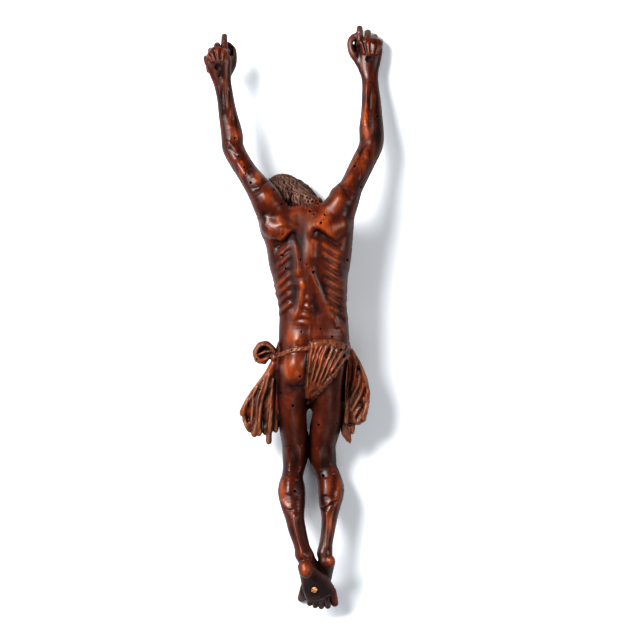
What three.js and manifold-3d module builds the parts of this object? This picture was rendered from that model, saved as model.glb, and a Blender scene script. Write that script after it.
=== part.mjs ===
// A carved boxwood corpus figure for a crucifix, lying face down with its arms raised.
// Millimetres. +Z points out of the figure's back, +Y towards its hands, +X to the viewer's right.
//
// The figure is carved from a distance field: limbs, muscles and folds are blended on a grid, which is
// then skinned, thinned to flat facets and drilled. Carving is written in carver's units, which are
// millimetres on a figure of CARVED_LENGTH, and follows FIGURE_LENGTH.
import * as THREE from 'three';
import Module from 'manifold-3d';

// Driving sizes, in millimetres
const FIGURE_LENGTH = 442; // toe tips to the highest finger tip
const SHOULDER_JOINT_GAP = 0.4; // glue line between each arm and the trunk
const HAND_HOLE_RADIUS = 2.2; // nail holes through the palms
const SOLE_HOLE_RADIUS = 2.7; // nail hole in the left sole
const SOLE_HOLE_DEPTH = 9;
const PEG_CLEARANCE = 0.3; // round the stub in the sole
const PEG_STAND = 0.5; // how far the broken stub stands out of the sole
const PEG_FLOOR_GAP = 0.3; // between the stub's foot and the bottom of its hole
const HAND_SEAT_RADIUS = 4.6; // flat on the back of each hand, against the cross
const SOLE_SEAT_RADIUS = 8.4; // flat on the left sole, against the cross
const WORM_HOLE_RADIUS = 0.9;
const WORM_HOLE_DEPTH = 3;

const CARVED_LENGTH = 442;
const SCALE = FIGURE_LENGTH / CARVED_LENGTH;
const FACETS = { figure: 7820, cutter: 1000 };
const PITCH = 1.4; // of the carving grid, in carver's units
const FAR = 8; // a distance that no blend reaches
const FULLER = 0.22; // what the thinned facets cut off
const GROUND = 0.35; // the lowest spots are worn flat at this height
const HOLE_SIDES = 16;
const WORM_HOLE_SIDES = 6;

const wasm = await Module();
wasm.setup();

// Small helpers
const clamp = (v, lo = 0, hi = 1) => Math.min(hi, Math.max(lo, v));
const mix = (a, b, t) => a + (b - a) * t;
const mixAll = (a, b, t) => a.map((v, i) => mix(v, b[i], t));
const ease = (lo, hi, v) => {
  const t = clamp((v - lo) / (hi - lo));
  return t * t * (3 - 2 * t);
};
const blendMin = (a, b, k) => {
  if (k <= 0) return Math.min(a, b);
  const h = Math.max(k - Math.abs(a - b), 0) / k;
  return Math.min(a, b) - (h * h * k) / 4;
};

// A Catmull-Rom curve through stations of any width, cut into equal steps.
function curve(stations, parts = 4) {
  const last = stations.length - 1;
  const at = (i) => stations[clamp(i, 0, last)];
  const out = [];
  for (let i = 0; i < last; i++) {
    for (let s = 0; s < parts; s++) {
      const t = s / parts;
      const [p, a, b, q] = [at(i - 1), at(i), at(i + 1), at(i + 2)];
      out.push(a.map((_, c) => 0.5 * (2 * a[c] + (b[c] - p[c]) * t
        + (2 * p[c] - 5 * a[c] + 4 * b[c] - q[c]) * t * t
        + (3 * a[c] - p[c] - 3 * b[c] + q[c]) * t * t * t)));
    }
  }
  out.push(stations[last]);
  return out;
}

// Distance to a tapered run between two stations [x, y, z, half width, half depth].
function run(a, b) {
  const d = [b[0] - a[0], b[1] - a[1], b[2] - a[2]];
  const long = d[0] * d[0] + d[1] * d[1] + d[2] * d[2] || 1e-9;
  const level = Math.hypot(d[0], d[1]);
  const [ux, uy] = level > 1e-6 ? [d[1] / level, -d[0] / level] : [1, 0];
  const reach = Math.max(a[3], a[4], b[3], b[4]);
  const box = [0, 1, 2].map((c) => [Math.min(a[c], b[c]) - reach, Math.max(a[c], b[c]) + reach]);
  const distance = (x, y, z) => {
    const px = x - a[0], py = y - a[1], pz = z - a[2];
    const t = clamp((px * d[0] + py * d[1] + pz * d[2]) / long);
    const qx = px - t * d[0], qy = py - t * d[1], qz = pz - t * d[2];
    const wide = mix(a[3], b[3], t), deep = mix(a[4], b[4], t);
    const across = (qx * ux + qy * uy) ** 2;
    const rest = Math.max(qx * qx + qy * qy + qz * qz - across, 0);
    const k0 = Math.sqrt(across / wide ** 2 + rest / deep ** 2);
    const k1 = Math.sqrt(across / wide ** 4 + rest / deep ** 4);
    return k1 < 1e-6 ? -Math.min(wide, deep) : (k0 * (k0 - 1)) / k1;
  };
  return { box, distance };
}

// A limb: a smooth run through stations. A round one leaves out the half depth.
function limb(stations, parts = 4) {
  const full = stations.map((s) => (s.length > 4 ? s : [...s, s[3]]));
  const steps = curve(full, parts).map((s) => [s[0], s[1], s[2], Math.max(s[3], 0.3), Math.max(s[4], 0.3)]);
  return steps.slice(1).map((s, i) => run(steps[i], s));
}

// An ellipsoid with its three half axes given as radii along unit directions.
const WORLD = [[1, 0, 0], [0, 1, 0], [0, 0, 1]];
function ball(centre, radii, axes = WORLD) {
  const r = typeof radii === 'number' ? [radii, radii, radii] : radii;
  const reach = Math.max(...r);
  const box = centre.map((c) => [c - reach, c + reach]);
  const distance = (x, y, z) => {
    const p = [x - centre[0], y - centre[1], z - centre[2]];
    let k0 = 0, k1 = 0;
    for (let i = 0; i < 3; i++) {
      const v = p[0] * axes[i][0] + p[1] * axes[i][1] + p[2] * axes[i][2];
      k0 += (v / r[i]) ** 2;
      k1 += (v / r[i] ** 2) ** 2;
    }
    return k1 < 1e-12 ? -Math.min(...r) : (Math.sqrt(k0) * (Math.sqrt(k0) - 1)) / Math.sqrt(k1);
  };
  return [{ box, distance }];
}

// The carving grid
const LOW = [-76, -228, -6], HIGH = [76, 226, 72];
const COUNT = LOW.map((lo, c) => Math.ceil((HIGH[c] - lo) / PITCH) + 1);
const [NX, NY, NZ] = COUNT;
const place = (c, i) => LOW[c] + i * PITCH;
const newField = () => new Float32Array(NX * NY * NZ).fill(FAR);
const newMap = () => new Float32Array(NX * NY);

function visit(box, margin, each) {
  const from = box.map(([lo], c) => Math.max(0, Math.ceil((lo - margin - LOW[c]) / PITCH)));
  const to = box.map(([, hi], c) => Math.min(COUNT[c] - 1, Math.floor((hi + margin - LOW[c]) / PITCH)));
  for (let k = from[2]; k <= to[2]; k++) {
    for (let j = from[1]; j <= to[1]; j++) {
      for (let i = from[0]; i <= to[0]; i++) {
        each((k * NY + j) * NX + i, place(0, i), place(1, j), place(2, k));
      }
    }
  }
}

const bounds = (runs) => [0, 1, 2].map((c) => [
  Math.min(...runs.map((r) => r.box[c][0])), Math.max(...runs.map((r) => r.box[c][1]))]);

const scratch = newField();
// Writes a form's distance into the scratch field and returns the box that it fills.
function trace(form) {
  const box = bounds(form);
  visit(box, FAR, (n) => { scratch[n] = FAR; });
  for (const part of form) {
    visit(part.box, FAR, (n, x, y, z) => {
      const v = part.distance(x, y, z);
      if (v < scratch[n]) scratch[n] = v;
    });
  }
  return box;
}
function join(field, form, blend = 0) {
  visit(trace(form), FAR, (n) => { field[n] = blendMin(field[n], scratch[n], blend); });
}

// Relief maps: heights over the figure's outline, for its upper or its lower side
function polyDistance(points, x, y) {
  let best = Infinity, along = 0;
  const last = points.length - 1;
  for (let i = 0; i < last; i++) {
    const [ax, ay] = points[i], [bx, by] = points[i + 1];
    const dx = bx - ax, dy = by - ay;
    const t = clamp(((x - ax) * dx + (y - ay) * dy) / (dx * dx + dy * dy || 1e-9));
    const d = Math.hypot(x - ax - t * dx, y - ay - t * dy);
    if (d < best) { best = d; along = (i + t) / last; }
  }
  return [best, along];
}
function visitMap(points, margin, each) {
  const span = (c) => points.map((p) => p[c]);
  const box = [[Math.min(...span(0)), Math.max(...span(0))], [Math.min(...span(1)), Math.max(...span(1))]];
  const [i0, j0] = [0, 1].map((c) => Math.max(0, Math.ceil((box[c][0] - margin - LOW[c]) / PITCH)));
  const [i1, j1] = [0, 1].map((c) => Math.min(COUNT[c] - 1,
    Math.floor((box[c][1] + margin - LOW[c]) / PITCH)));
  for (let j = j0; j <= j1; j++) for (let i = i0; i <= i1; i++) each(j * NX + i, place(0, i), place(1, j));
}
// A ridge (height over 0) or a groove along a curve, which fades at its ends.
function stroke(map, points, height, width, fade = 0.15) {
  const path = points.length > 2 ? curve(points, 4) : points;
  visitMap(path, 3.5 * width, (n, x, y) => {
    const [d, t] = polyDistance(path, x, y);
    const ends = fade > 0 ? ease(0, fade, t) * ease(0, fade, 1 - t) : 1;
    map[n] += height * Math.exp(-(d * d) / (2 * width * width)) * ends;
  });
}
function bump(map, x0, y0, height, width, length = width) {
  visitMap([[x0, y0]], 3.5 * Math.max(width, length), (n, x, y) => {
    map[n] += height * Math.exp(-(((x - x0) / width) ** 2 + ((y - y0) / length) ** 2) / 2);
  });
}
// A ridge or groove with a soft foot.
const crease = (map, points, height, width, fade = 0.15) => stroke(map, points, 0.85 * height, 1.5 * width,
  fade);

// The height of a field's upper (side 1) or lower (side -1) skin over the outline, spread a little past it.
function skin(field, side) {
  const map = newMap().fill(NaN);
  for (let j = 0; j < NY; j++) {
    for (let i = 0; i < NX; i++) {
      let above = FAR;
      for (let s = 0; s < NZ; s++) {
        const k = side > 0 ? NZ - 1 - s : s;
        const v = field[(k * NY + j) * NX + i];
        if (v < 0) {
          map[j * NX + i] = place(2, k) + side * PITCH * (v / (v - above));
          break;
        }
        above = v;
      }
    }
  }
  for (let round = 0; round < 7; round++) {
    const before = map.slice();
    for (let j = 1; j < NY - 1; j++) {
      for (let i = 1; i < NX - 1; i++) {
        if (!Number.isNaN(before[j * NX + i])) continue;
        let sum = 0, found = 0;
        for (const step of [-1, 1, -NX, NX]) {
          const v = before[j * NX + i + step];
          if (!Number.isNaN(v)) { sum += v; found++; }
        }
        if (found) map[j * NX + i] = sum / found;
      }
    }
  }
  return map;
}
function heightAt(map, x, y) {
  const i = clamp((x - LOW[0]) / PITCH, 0, NX - 2), j = clamp((y - LOW[1]) / PITCH, 0, NY - 2);
  const [a, b] = [Math.floor(i), Math.floor(j)];
  const row = (r) => mix(map[r * NX + a], map[r * NX + a + 1], i - a);
  return mix(row(b), row(b + 1), j - b);
}
// Stations [x, y, half width, half depth] laid on a skin, sunk or lifted by a distance along z.
const laid = (map, lift, stations) => limb(curve(stations, 3).map(([x, y, wide, deep]) => [
  x, y, heightAt(map, x, y) + lift, wide, deep ?? wide]), 1);

function raise(field, map, relief, side) {
  const DEPTH = 9;
  visit(LOW.map((lo, c) => [lo, HIGH[c]]), 0, (n, x, y, z) => {
    const flat = n % (NX * NY);
    const h = relief[flat];
    if (h === 0 || Math.abs(field[n]) > 6) return;
    const below = side * (map[flat] - z);
    if (below < DEPTH) field[n] -= h * ease(DEPTH, DEPTH / 2, below);
  });
}

// Trunk
const trunk = newField();
join(trunk, limb([
  [7.8, 70, 44.5, 19, 12], [9.2, 62, 41.5, 27.5, 18], [10.2, 52, 40, 30, 20.5], [10.5, 41, 40, 29.8, 21],
  [11.3, 29, 41, 28, 19.4], [12.4, 17, 42.6, 26.2, 16.8], [13.1, 5, 43.8, 25, 14.4],
  [13.6, -8, 42.6, 26.1, 15], [13.6, -20, 40.6, 26.7, 16.6], [12.9, -34, 38.6, 25.6, 17.2],
  [12, -44, 37, 22.5, 16]]));
// broad back muscles, from each armpit down the flank
join(trunk, limb([[-20, 80, 47, 9.2, 8], [-19.8, 67, 43, 7, 11], [-16.8, 53, 40, 4.8, 11],
  [-13.4, 40, 38.5, 4.8, 9]]), 5);
join(trunk, limb([[33.8, 80, 43, 10.2, 9], [34.8, 67, 42, 8.8, 11], [35.2, 54, 40, 6.8, 11],
  [33.8, 40, 38.5, 5.8, 9]]), 5);
// shoulder blades
join(trunk, limb([[-19, 69, 53, 7.4, 5.5], [-11.6, 64.6, 55.6, 8.6, 6], [-4, 64.4, 57, 5, 4.6]]), 4);
join(trunk, limb([[33, 69, 51, 8, 6], [26, 66.5, 54.6, 8.4, 6], [18.5, 67, 56.5, 5, 4.8]]), 4);
// neck and the slopes from it to the shoulders
join(trunk, limb([[7, 68, 45, 11, 11], [4.5, 78, 37, 9.5, 10], [0, 85, 29, 10, 10]]), 4);
join(trunk, limb([[6, 74, 47, 9, 7], [16, 77, 48.5, 6.5, 6], [25, 78, 46, 7, 7]]), 4);
join(trunk, limb([[2, 73, 48, 8, 7], [-7, 75, 49, 6, 6], [-15, 76, 48, 7, 7]]), 4);
// chest and belly on the underside
join(trunk, ball([-6, 51, 27], [14.5, 12, 8]), 5);
join(trunk, ball([25, 51, 27], [14.5, 12, 8]), 5);
join(trunk, ball([12.5, -12, 34], [17, 17, 8.5]), 6);
// buttocks
join(trunk, ball([0.6, -36, 43.5], [12.6, 15.5, 14.6]), 5);
join(trunk, ball([24.5, -36, 42.5], [13.8, 15.5, 14.4]), 5);

// Legs: knees forward, the shins rising to crossed ankles
const leftLeg = newField();
join(leftLeg, limb([
  [0, -42, 38, 13.2, 16.5], [-2.2, -56, 35, 11.4, 14.5], [-2.4, -70, 30, 10.7, 13],
    [-1.8, -84, 24.6, 10.4, 12],
  [0, -96, 19.4, 10.2, 11], [-0.2, -105, 16.8, 9.6, 10.6], [-1.4, -114, 17.6, 8.2, 9.4],
  [-2.6, -122, 21, 8.2, 9.4], [-3, -131, 24, 10.3, 10.4], [-2.1, -140, 27, 9.5, 9.4],
  [-0.7, -150, 30.4, 7.4, 8], [1.3, -160, 33.6, 6.7, 7], [4.3, -170, 36.6, 6, 6.2],
    [6.2, -178, 38.6, 6, 6.2]]));
const rightLeg = newField();
join(rightLeg, limb([
  [24, -42, 37, 14, 16.5], [24.6, -56, 34, 12.4, 14.5], [24.4, -70, 29.4, 11.4, 13],
    [22.3, -84, 23.8, 11.4, 12],
  [20, -96, 18.4, 10.3, 11], [20.1, -105, 15.4, 10.3, 10.6], [22.2, -114.6, 15.4, 8.8, 9.4],
  [25.2, -122, 18, 9, 9.3], [26.8, -131, 20.6, 9.8, 10.2], [26.1, -140, 22.8, 8.3, 9.2],
  [25.6, -150, 24.6, 6.2, 7.6], [24.6, -160, 26.4, 5.2, 6.8], [22.9, -170, 28.4, 5, 6],
    [21.8, -178, 30.4, 5.9, 5.8]]));

// Left foot, crossed behind the right one, its sole a flat that leans towards the toes
const SOLE = { point: [10, -198, 41], normal: [0, -0.7312, 0.6822] };
const foot = newField();
join(foot, limb([[7.8, -188, 41.4, 6, 6.3], [11.4, -194.4, 36, 8.2, 6.3], [14.9, -201, 29.4, 10.6, 5.8],
  [18.2, -208.4, 22.6, 11.3, 4.8]]));
join(foot, limb([[6.6, -178, 37.4, 5.6, 6], [11.2, -187, 32.6, 6.2, 6], [17, -197, 25.8, 7, 5.6],
  [22.6, -206, 19.8, 6.4, 5]]), 3);
visit(LOW.map((lo, c) => [lo, HIGH[c]]), 0, (n, x, y, z) => {
  const over = (x - SOLE.point[0]) * SOLE.normal[0] + (y - SOLE.point[1]) * SOLE.normal[1]
    + (z - SOLE.point[2]) * SOLE.normal[2];
  foot[n] = Math.max(foot[n], over + FULLER);
});
const HEEL = [7.8, -190.2, 42.6];
join(foot, ball(HEEL, [5, 5.5, 6.2]), 0.8);
// toes as [tip x, tip y, radius], from the great toe to the little one
const LEFT_TOES = [[29.4, -216.4, 2.8], [24.2, -218.6, 2.3], [19.3, -219, 2.2], [14.8, -218.5, 2.1],
  [10.6, -216.5, 2.3]];
LEFT_TOES.forEach(([x, y, r], i) => {
  const root = [mix(x, 18, 0.18), y + (i ? 7.4 : 9.5), i ? 21 : 22, r + 0.35];
  const bend = [mix(x, root[0], 0.25), y + (i ? 2.6 : 3.4), 16.6, r + 0.1];
  join(foot, limb([root, bend, [x, y, 14.4, r]], 2), 0.5);
});
join(leftLeg, ball([6.8, -179, 36.6], [6.4, 5.6, 5.6]), 3);

const frontFoot = newField();
join(frontFoot, limb([[23.4, -184.5, 31.6, 6.4, 5.4], [21.5, -192, 24.6, 6.5, 5],
  [18.6, -201, 15.8, 7.6, 4.8],
  [14, -208, 9.4, 9, 4]]));
join(frontFoot, ball([26.3, -183.6, 34], [3.5, 4, 4]), 0.8);
const FRONT_TOES = [[4.2, -213.6, 2.9], [9, -213.8, 2.2], [13.2, -212.8, 2.1], [17, -211, 2],
  [20.4, -208.4, 2]];
FRONT_TOES.forEach(([x, y, r], i) => {
  const root = [mix(x, 13.5, i ? 0.22 : 0.3), y + (i ? 7 : 9.4), i ? 8.4 : 11, r + 0.4];
  join(frontFoot, limb([root, mixAll(root, [x, y, 4, r], 0.6), [x, y, r - 0.4, r]], 2), 0.5);
});

join(trunk, limb([[10, -50, 30, 13, 10], [9.5, -61, 27, 8, 8]]), 4);
const merge = (into, from, k) => { for (let n = 0; n < into.length; n++) into[n] = blendMin(into[n],
  from[n], k); };
merge(leftLeg, foot, 2.5);
merge(rightLeg, frontFoot, 2.5);
merge(leftLeg, rightLeg, 0.8);
merge(trunk, leftLeg, 5);

// Arms
const HANDS = {
  left: { hole: [-58, 185.8], lean: [0.24, -0.4], seat: [-58.4, 186.4], palm: 39.5 },
  right: { hole: [55.2, 193.4], lean: [0, -0.36], seat: [53.6, 193], palm: 11 },
};
const leftArm = newField();
join(leftArm, limb([
  [-14, 77, 46, 9, 10.5], [-21, 86.2, 47.4, 11.2, 11.4], [-28.2, 96.2, 44.6, 9.4, 10.4],
    [-35.8, 106.8, 41, 8, 9.4],
  [-42.4, 117.4, 37.4, 7.8, 9], [-46.7, 126, 34.8, 8.2, 8.8], [-47.5, 134, 34, 8.2, 8.6],
    [-48.8, 142, 34.2, 7.8, 8],
  [-50.8, 152, 35, 6.9, 7], [-52.6, 163, 36.2, 6.2, 6.2], [-54.6, 174, 37.6, 6.7, 5.6],
    [-56.4, 182, 38.6, 8, 5.2],
  [-57.8, 189.4, 39.5, 9.7, 5], [-57.4, 194, 39.5, 8.9, 4.8], [-56.6, 197, 39.2, 7.4, 4.6]]));
join(leftArm, limb([[-42, 112, 37, 5, 7], [-46.6, 119.4, 35, 4.6, 7], [-47.6, 126, 34.6, 5, 7]]), 2);
const rightArm = newField();
join(rightArm, limb([
  [27, 75, 43, 9, 10.5], [35.4, 85, 43.4, 11, 11.8], [41.4, 96, 38.8, 9, 10.4], [46.8, 107, 34, 8.8, 9.5],
  [52.2, 118, 29, 8.8, 9], [56.2, 127, 25, 9, 8.8], [57.2, 134, 22.8, 9.3, 8.5], [57, 142, 20.6, 9.2, 8],
  [57.2, 152, 18, 8, 7], [56.9, 163, 15.6, 7.1, 6.2], [56.4, 174, 13.6, 6.3, 5.6],
    [55.8, 181, 12.2, 6.5, 5.4],
  [55.3, 188, 11.4, 7.8, 5.2], [56.2, 196, 10.9, 8.7, 5], [56.8, 203, 10.6, 9, 4.8],
    [57, 206.4, 10.4, 8.7, 4.5]]));
join(rightArm, ball([34.2, 92.6, 42.6], [7.4, 6.6, 8]), 3);

// A finger: knuckle, bent middle joint and tip, round in section.
const finger = (field, joints, r) => join(field,
  limb(joints.map((j, i) => [...j, r * (1.08 - 0.08 * i)]), 3), 0.5);
// left fist: the index reaches up, the others fold under the palm
finger(leftArm, [[-52.8, 197, 38.4], [-53.2, 203.8, 36], [-53.3, 209.6, 32]], 2.55);
[[-58.6, 202.6, 0], [-63.4, 198.8, 1], [-66.7, 193, 2]].forEach(([x, y, i]) => {
  finger(leftArm, [[mix(x, -57, 0.12), y - 3.6, 39.4], [x, y, 36.2], [x + 1, y - 3.4, 28.8],
    [x + 1.8, y - 9, 30.5]],
    2.5 - 0.06 * i);
});
join(leftArm, limb([[-51.4, 181, 36, 3.6], [-47.8, 188, 32.6, 3.4], [-47, 194, 31, 3.2],
  [-47.6, 199.6, 30.2, 3],
  [-50.6, 203.2, 29.8, 2.5]]), 1.6);
join(leftArm, limb([[-51.4, 186, 34, 3.6, 5], [-50.2, 197, 33.4, 3.6, 4.4]]), 2);
join(leftArm, ball([-56.5, 189, 35], [8, 8, 5]), 2);
// right fist: three finger tips show above the knuckles
finger(rightArm, [[48.8, 206, 10.6], [48.4, 212, 9.6], [48.3, 217.4, 7.2]], 2.6);
finger(rightArm, [[53.8, 207, 11], [54.4, 211.6, 9.8], [54.6, 214.5, 6.2], [54.6, 209, 2.2]], 2.55);
finger(rightArm, [[58.6, 206, 10.8], [59.6, 209, 9.6], [60, 211, 5.6], [59.6, 205, 2.1]], 2.4);
finger(rightArm, [[62.6, 202.6, 10.4], [63.6, 206, 9.4], [64, 206.8, 5.4], [62.6, 200.6, 2.1]], 2.35);
join(rightArm, limb([[51.8, 185, 11, 3.4], [47.6, 193, 9.8, 3.6], [43.6, 199.4, 9, 3.8],
  [41.9, 206.4, 8.4, 3.1],
  [43.4, 210.2, 8, 2.7], [46.2, 211.8, 8.4, 2.3]]), 1.6);
join(rightArm, limb([[48.6, 192, 8.6, 3.4, 3.6], [46.4, 200.4, 7.6, 3, 3]]), 1.5);
join(rightArm, limb([[46, 198, 6.6, 3, 2.4], [44.6, 203, 6, 2.8, 2.2], [45.4, 209.6, 6.2, 2.4, 2.2]]), 0.8);
join(rightArm, ball([55.6, 195, 6.6], [7.6, 7.6, 4]), 2);

// Head: fallen forward, its crown to the upper left, the brow on the ground
const HEAD = {
  centre: [-6, 87.5, 18.4],
  side: [0.819, 0.574, 0],
  up: [-0.497, 0.709, -0.5],
  front: [0.287, -0.41, -0.866],
};
const HEAD_AXES = [HEAD.side, HEAD.up, HEAD.front];
const onHead = (s, u, f) => HEAD.centre.map((c,
  i) => c + s * HEAD.side[i] + u * HEAD.up[i] + f * HEAD.front[i]);
const at = (s, u, f, r) => [...onHead(s, u, f), r];
const head = newField();
join(head, ball(onHead(0, 1.1, 0), [16, 20.3, 19], HEAD_AXES));
join(head, ball(onHead(0, -8.5, 4), [11.6, 18, 13.2], HEAD_AXES), 2.5);
// hair over the nape and down beside the face
join(head, limb([[-4, 89, 26, 12, 11], [4, 86.6, 33, 9.6, 9.4], [9.6, 83.6, 38.4, 8, 7.4]]), 3);
join(head, limb([[-8, 86, 30, 9, 8], [-7, 80, 36, 8, 7]]), 3);
for (const s of [-1, 1]) {
  join(head, limb([at(12 * s, 9, 6, 5), at(14.5 * s, -3, 5, 5), at(13.5 * s, -15, 3, 4.6),
    at(11 * s, -25, 1, 3.8)]), 2);
  // cheek, brow, closed lid, nostril, moustache and one point of the forked beard
  join(head, ball(onHead(7.2 * s, -8.5, 11.6), 4.2), 2);
  join(head, limb([at(9.5 * s, 0.6, 12.8, 1.5), at(5 * s, 2.6, 15.6, 1.6), at(0, 1, 16.4, 1.7)], 3), 1);
  join(head, ball(onHead(4.8 * s, -2.8, 13), [3, 2.1, 2.6], HEAD_AXES), 0.6);
  join(head, ball(onHead(1.9 * s, -12.9, 17.4), [1.5, 1.4, 1.8], HEAD_AXES), 0.8);
  join(head, limb([at(0.6 * s, -15.6, 17.2, 1.3), at(4 * s, -17, 16, 1.5), at(7.6 * s, -20.6, 12.5, 1.3)],
    3), 0.8);
  join(head, limb([at(5 * s, -21, 11, 4.5), at(3.6 * s, -27, 12.4, 4), at(2.6 * s, -31, 12.6, 2.4)], 3),
    1.5);
}
join(head, limb([at(0, 0, 16.2, 1.5), at(0, -7, 18.6, 1.6), at(0, -12.4, 20.2, 2)], 3), 1.2);
join(head, limb([at(-3.4, -18.6, 15.8, 0.9), at(0, -18.1, 17.2, 1.1), at(3.4, -18.6, 15.8, 0.9)], 3), 0.6);
join(head, limb([at(-2.8, -20.4, 15.6, 0.9), at(0, -20.6, 16.8, 1.2), at(2.8, -20.4, 15.6, 0.9)], 3), 0.6);
join(head, ball(onHead(0, -24, 13), [5, 4, 4], HEAD_AXES), 1.5);
join(head, limb([[-3, 90.4, 33, 7.2, 6.5], [4, 87, 40, 7, 7], [11, 85, 43.6, 5.2, 5.4],
  [16.6, 85.4, 43.4, 3.4, 3.6]]), 2);
join(head, limb([[-16, 99.6, 25, 4.6, 5], [-11.4, 93.6, 34, 5.4, 5.4], [-7.4, 88.4, 40.4, 5, 4.6]]), 2);

// Locks of hair: grooves that stream from the crown, waving, down to the nape and the brow
const LOCKS = 24, LOCK_DEPTH = 1.25, LOCK_WIDTH = 1.15;
const locks = [];
for (let i = 0; i < LOCKS; i++) {
  const turn = (i / LOCKS) * 2 * Math.PI;
  const lock = [];
  for (let s = 0; s <= 9; s++) {
    const fall = mix(0.22, 2.05, s / 9);
    const swing = turn + 0.11 * Math.sin(fall * 5 + i * 1.7);
    const [cs, cu, cf] = [Math.sin(fall) * Math.cos(swing), Math.cos(fall),
      Math.sin(fall) * Math.sin(swing)];
    // the crown lies towards the back of the head
    const back = 0.05;
    const [u, f] = [cu * Math.cos(back) + cf * Math.sin(back), cf * Math.cos(back) - cu * Math.sin(back)];
    if (f > 0.62 && u < 0.45) break;
    lock.push(onHead(cs * 16, u * 20.3 + 1.1, f * 19));
  }
  if (lock.length > 2) locks.push(lock);
}
function engrave(field, path, height, width) {
  const reach = 3 * width;
  const hit = new Map();
  for (let i = 0; i < path.length - 1; i++) {
    const segment = run([...path[i], 0.01, 0.01], [...path[i + 1], 0.01, 0.01]);
    const [a, b] = [path[i], path[i + 1]];
    const d = b.map((v, c) => v - a[c]);
    const long = d[0] ** 2 + d[1] ** 2 + d[2] ** 2;
    visit(segment.box, reach, (n, x, y, z) => {
      const t = clamp(((x - a[0]) * d[0] + (y - a[1]) * d[1] + (z - a[2]) * d[2]) / long);
      const gap = (x - a[0] - t * d[0]) ** 2 + (y - a[1] - t * d[1]) ** 2 + (z - a[2] - t * d[2]) ** 2;
      if (gap < (hit.get(n) ?? Infinity)) hit.set(n, gap);
    });
  }
  for (const [n, gap] of hit) field[n] -= height * Math.exp(-gap / (2 * width * width));
}
for (const lock of locks) engrave(head, curve(lock, 2), -LOCK_DEPTH, LOCK_WIDTH);
for (const s of [-1, 1]) {
  engrave(head, curve([onHead(2.6 * s, -3, 15.4), onHead(4.8 * s, -3.9, 16), onHead(7.2 * s, -3.2, 14.6)],
    2), -0.6, 0.6);
  engrave(head, curve([onHead(3.4 * s, 0, 15.6), onHead(6.4 * s, -0.3, 15)], 2), -1, 1.2);
}

// The whole body: the arms and the head grow from the trunk, and the head stays clear of the arms
const arms = newField();
merge(arms, leftArm, 0);
merge(arms, rightArm, 0);
const withHead = trunk.slice();
merge(withHead, head, 3);
const body = trunk.slice();
merge(body, arms, 6);
merge(body, withHead, 0);

// Relief of the back, read from the nape down
const back = newMap();
// blades, the cords over them, the spine, the long muscles and folds of skin: [points, height, width, fade]
const BACK_RELIEF = [
  [[[-17, 51], [-12, 52.4], [-7.6, 55.6], [-4, 60], [-1.4, 61.6], [1, 60], [2.8, 54], [3.8, 46]],
    -1.3, 1.3, 0.2],
  [[[-13, 55], [-9.6, 57.4], [-6.4, 61.4], [-3, 65]], 1.3, 1.5, 0.25],
  [[[11, 54], [12.6, 59.6], [15.8, 63], [20, 61.4], [25.6, 56.8], [31, 53.2], [35, 52.6]],
    -1.3, 1.3, 0.2],
  [[[13.4, 63.4], [16.6, 66.6], [21.6, 64.6], [27.6, 59.8], [33, 56.6]], 1.3, 1.5, 0.25],
  [[[11.2, 61], [12.4, 67], [14, 74], [16, 79]], 0.8, 1.1, 0.25],
  [[[15.4, 67], [18.4, 71], [22.4, 76]], 0.9, 1.2, 0.25],
  [[[-12.6, 76], [-10.6, 71], [-9, 66]], 0.9, 1.4, 0.25],
  [[[-2.6, 66], [-2, 71], [-3, 78]], 0.6, 1.8, 0.25],
  [[[-16, 72], [-20, 64], [-21, 56]], 0.5, 3, 0.3],
  [[[2, 66], [2.6, 71], [1.4, 77]], -0.5, 1.5, 0.25],
  [[[6.6, 74], [6.2, 64], [5.6, 56], [5.4, 46], [5.8, 36], [6.8, 28], [7.6, 22]], -0.6, 1.3, 0.25],
  [[[9.6, 66], [9.4, 54], [9.2, 42], [9.6, 32]], 0.4, 1.8, 0.3],
  [[[-0.8, 57], [0.6, 50], [1.8, 42], [2.2, 35], [2, 29]], 1.1, 1, 0.2],
  [[[5.4, 29], [5.2, 20], [3.6, 11], [1.4, 3], [-2, -5]], 1.1, 1.1, 0.2],
  [[[8, 22], [7, 12], [5.4, 3]], -0.8, 1.5, 0.2],
  [[[2.4, 24], [0.4, 12], [-2.4, 3]], -0.6, 1.6, 0.25],
  [[[15.4, 58], [13.6, 53], [13, 47], [13.4, 41]], 1, 1.4, 0.2],
  [[[13.2, 38], [12.4, 33], [13.8, 27.6], [17, 20], [20.6, 11], [24.8, 3], [29, -3]], 0.8, 0.9, 0.12],
  [[[17, 50], [16.4, 42], [16.6, 33], [18.6, 25], [22.4, 15], [27, 6]], -0.6, 1.8, 0.2],
  [[[14.6, 18], [16.6, 8], [20, 0]], -0.7, 1.6, 0.2],
  [[[29.6, 8], [31.4, 1], [34.4, -7], [36.4, -15]], 0.8, 0.6, 0.2],
  [[[27, 4], [29.4, -3], [32, -10]], 0.6, 0.7, 0.2],
  [[[32.6, 8], [34, 1], [36.4, -6]], -0.7, 0.6, 0.2],
];
for (const [points, height, width, fade] of BACK_RELIEF) crease(back, points, height, width, fade);
// vertebrae
for (const [x, y, height, width] of [[10.2, 19, 0.4, 1.8], [9.4, 13.4, 0.8, 1.8], [9.4, 7, 0.9, 2.2],
  [8, 0.6, 0.9, 3], [6.6, -4.8, 0.8, 4]]) {
  bump(back, x, y, height, width, 1.4);
}
bump(back, 14, 3, -0.7, 2, 9);
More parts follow.
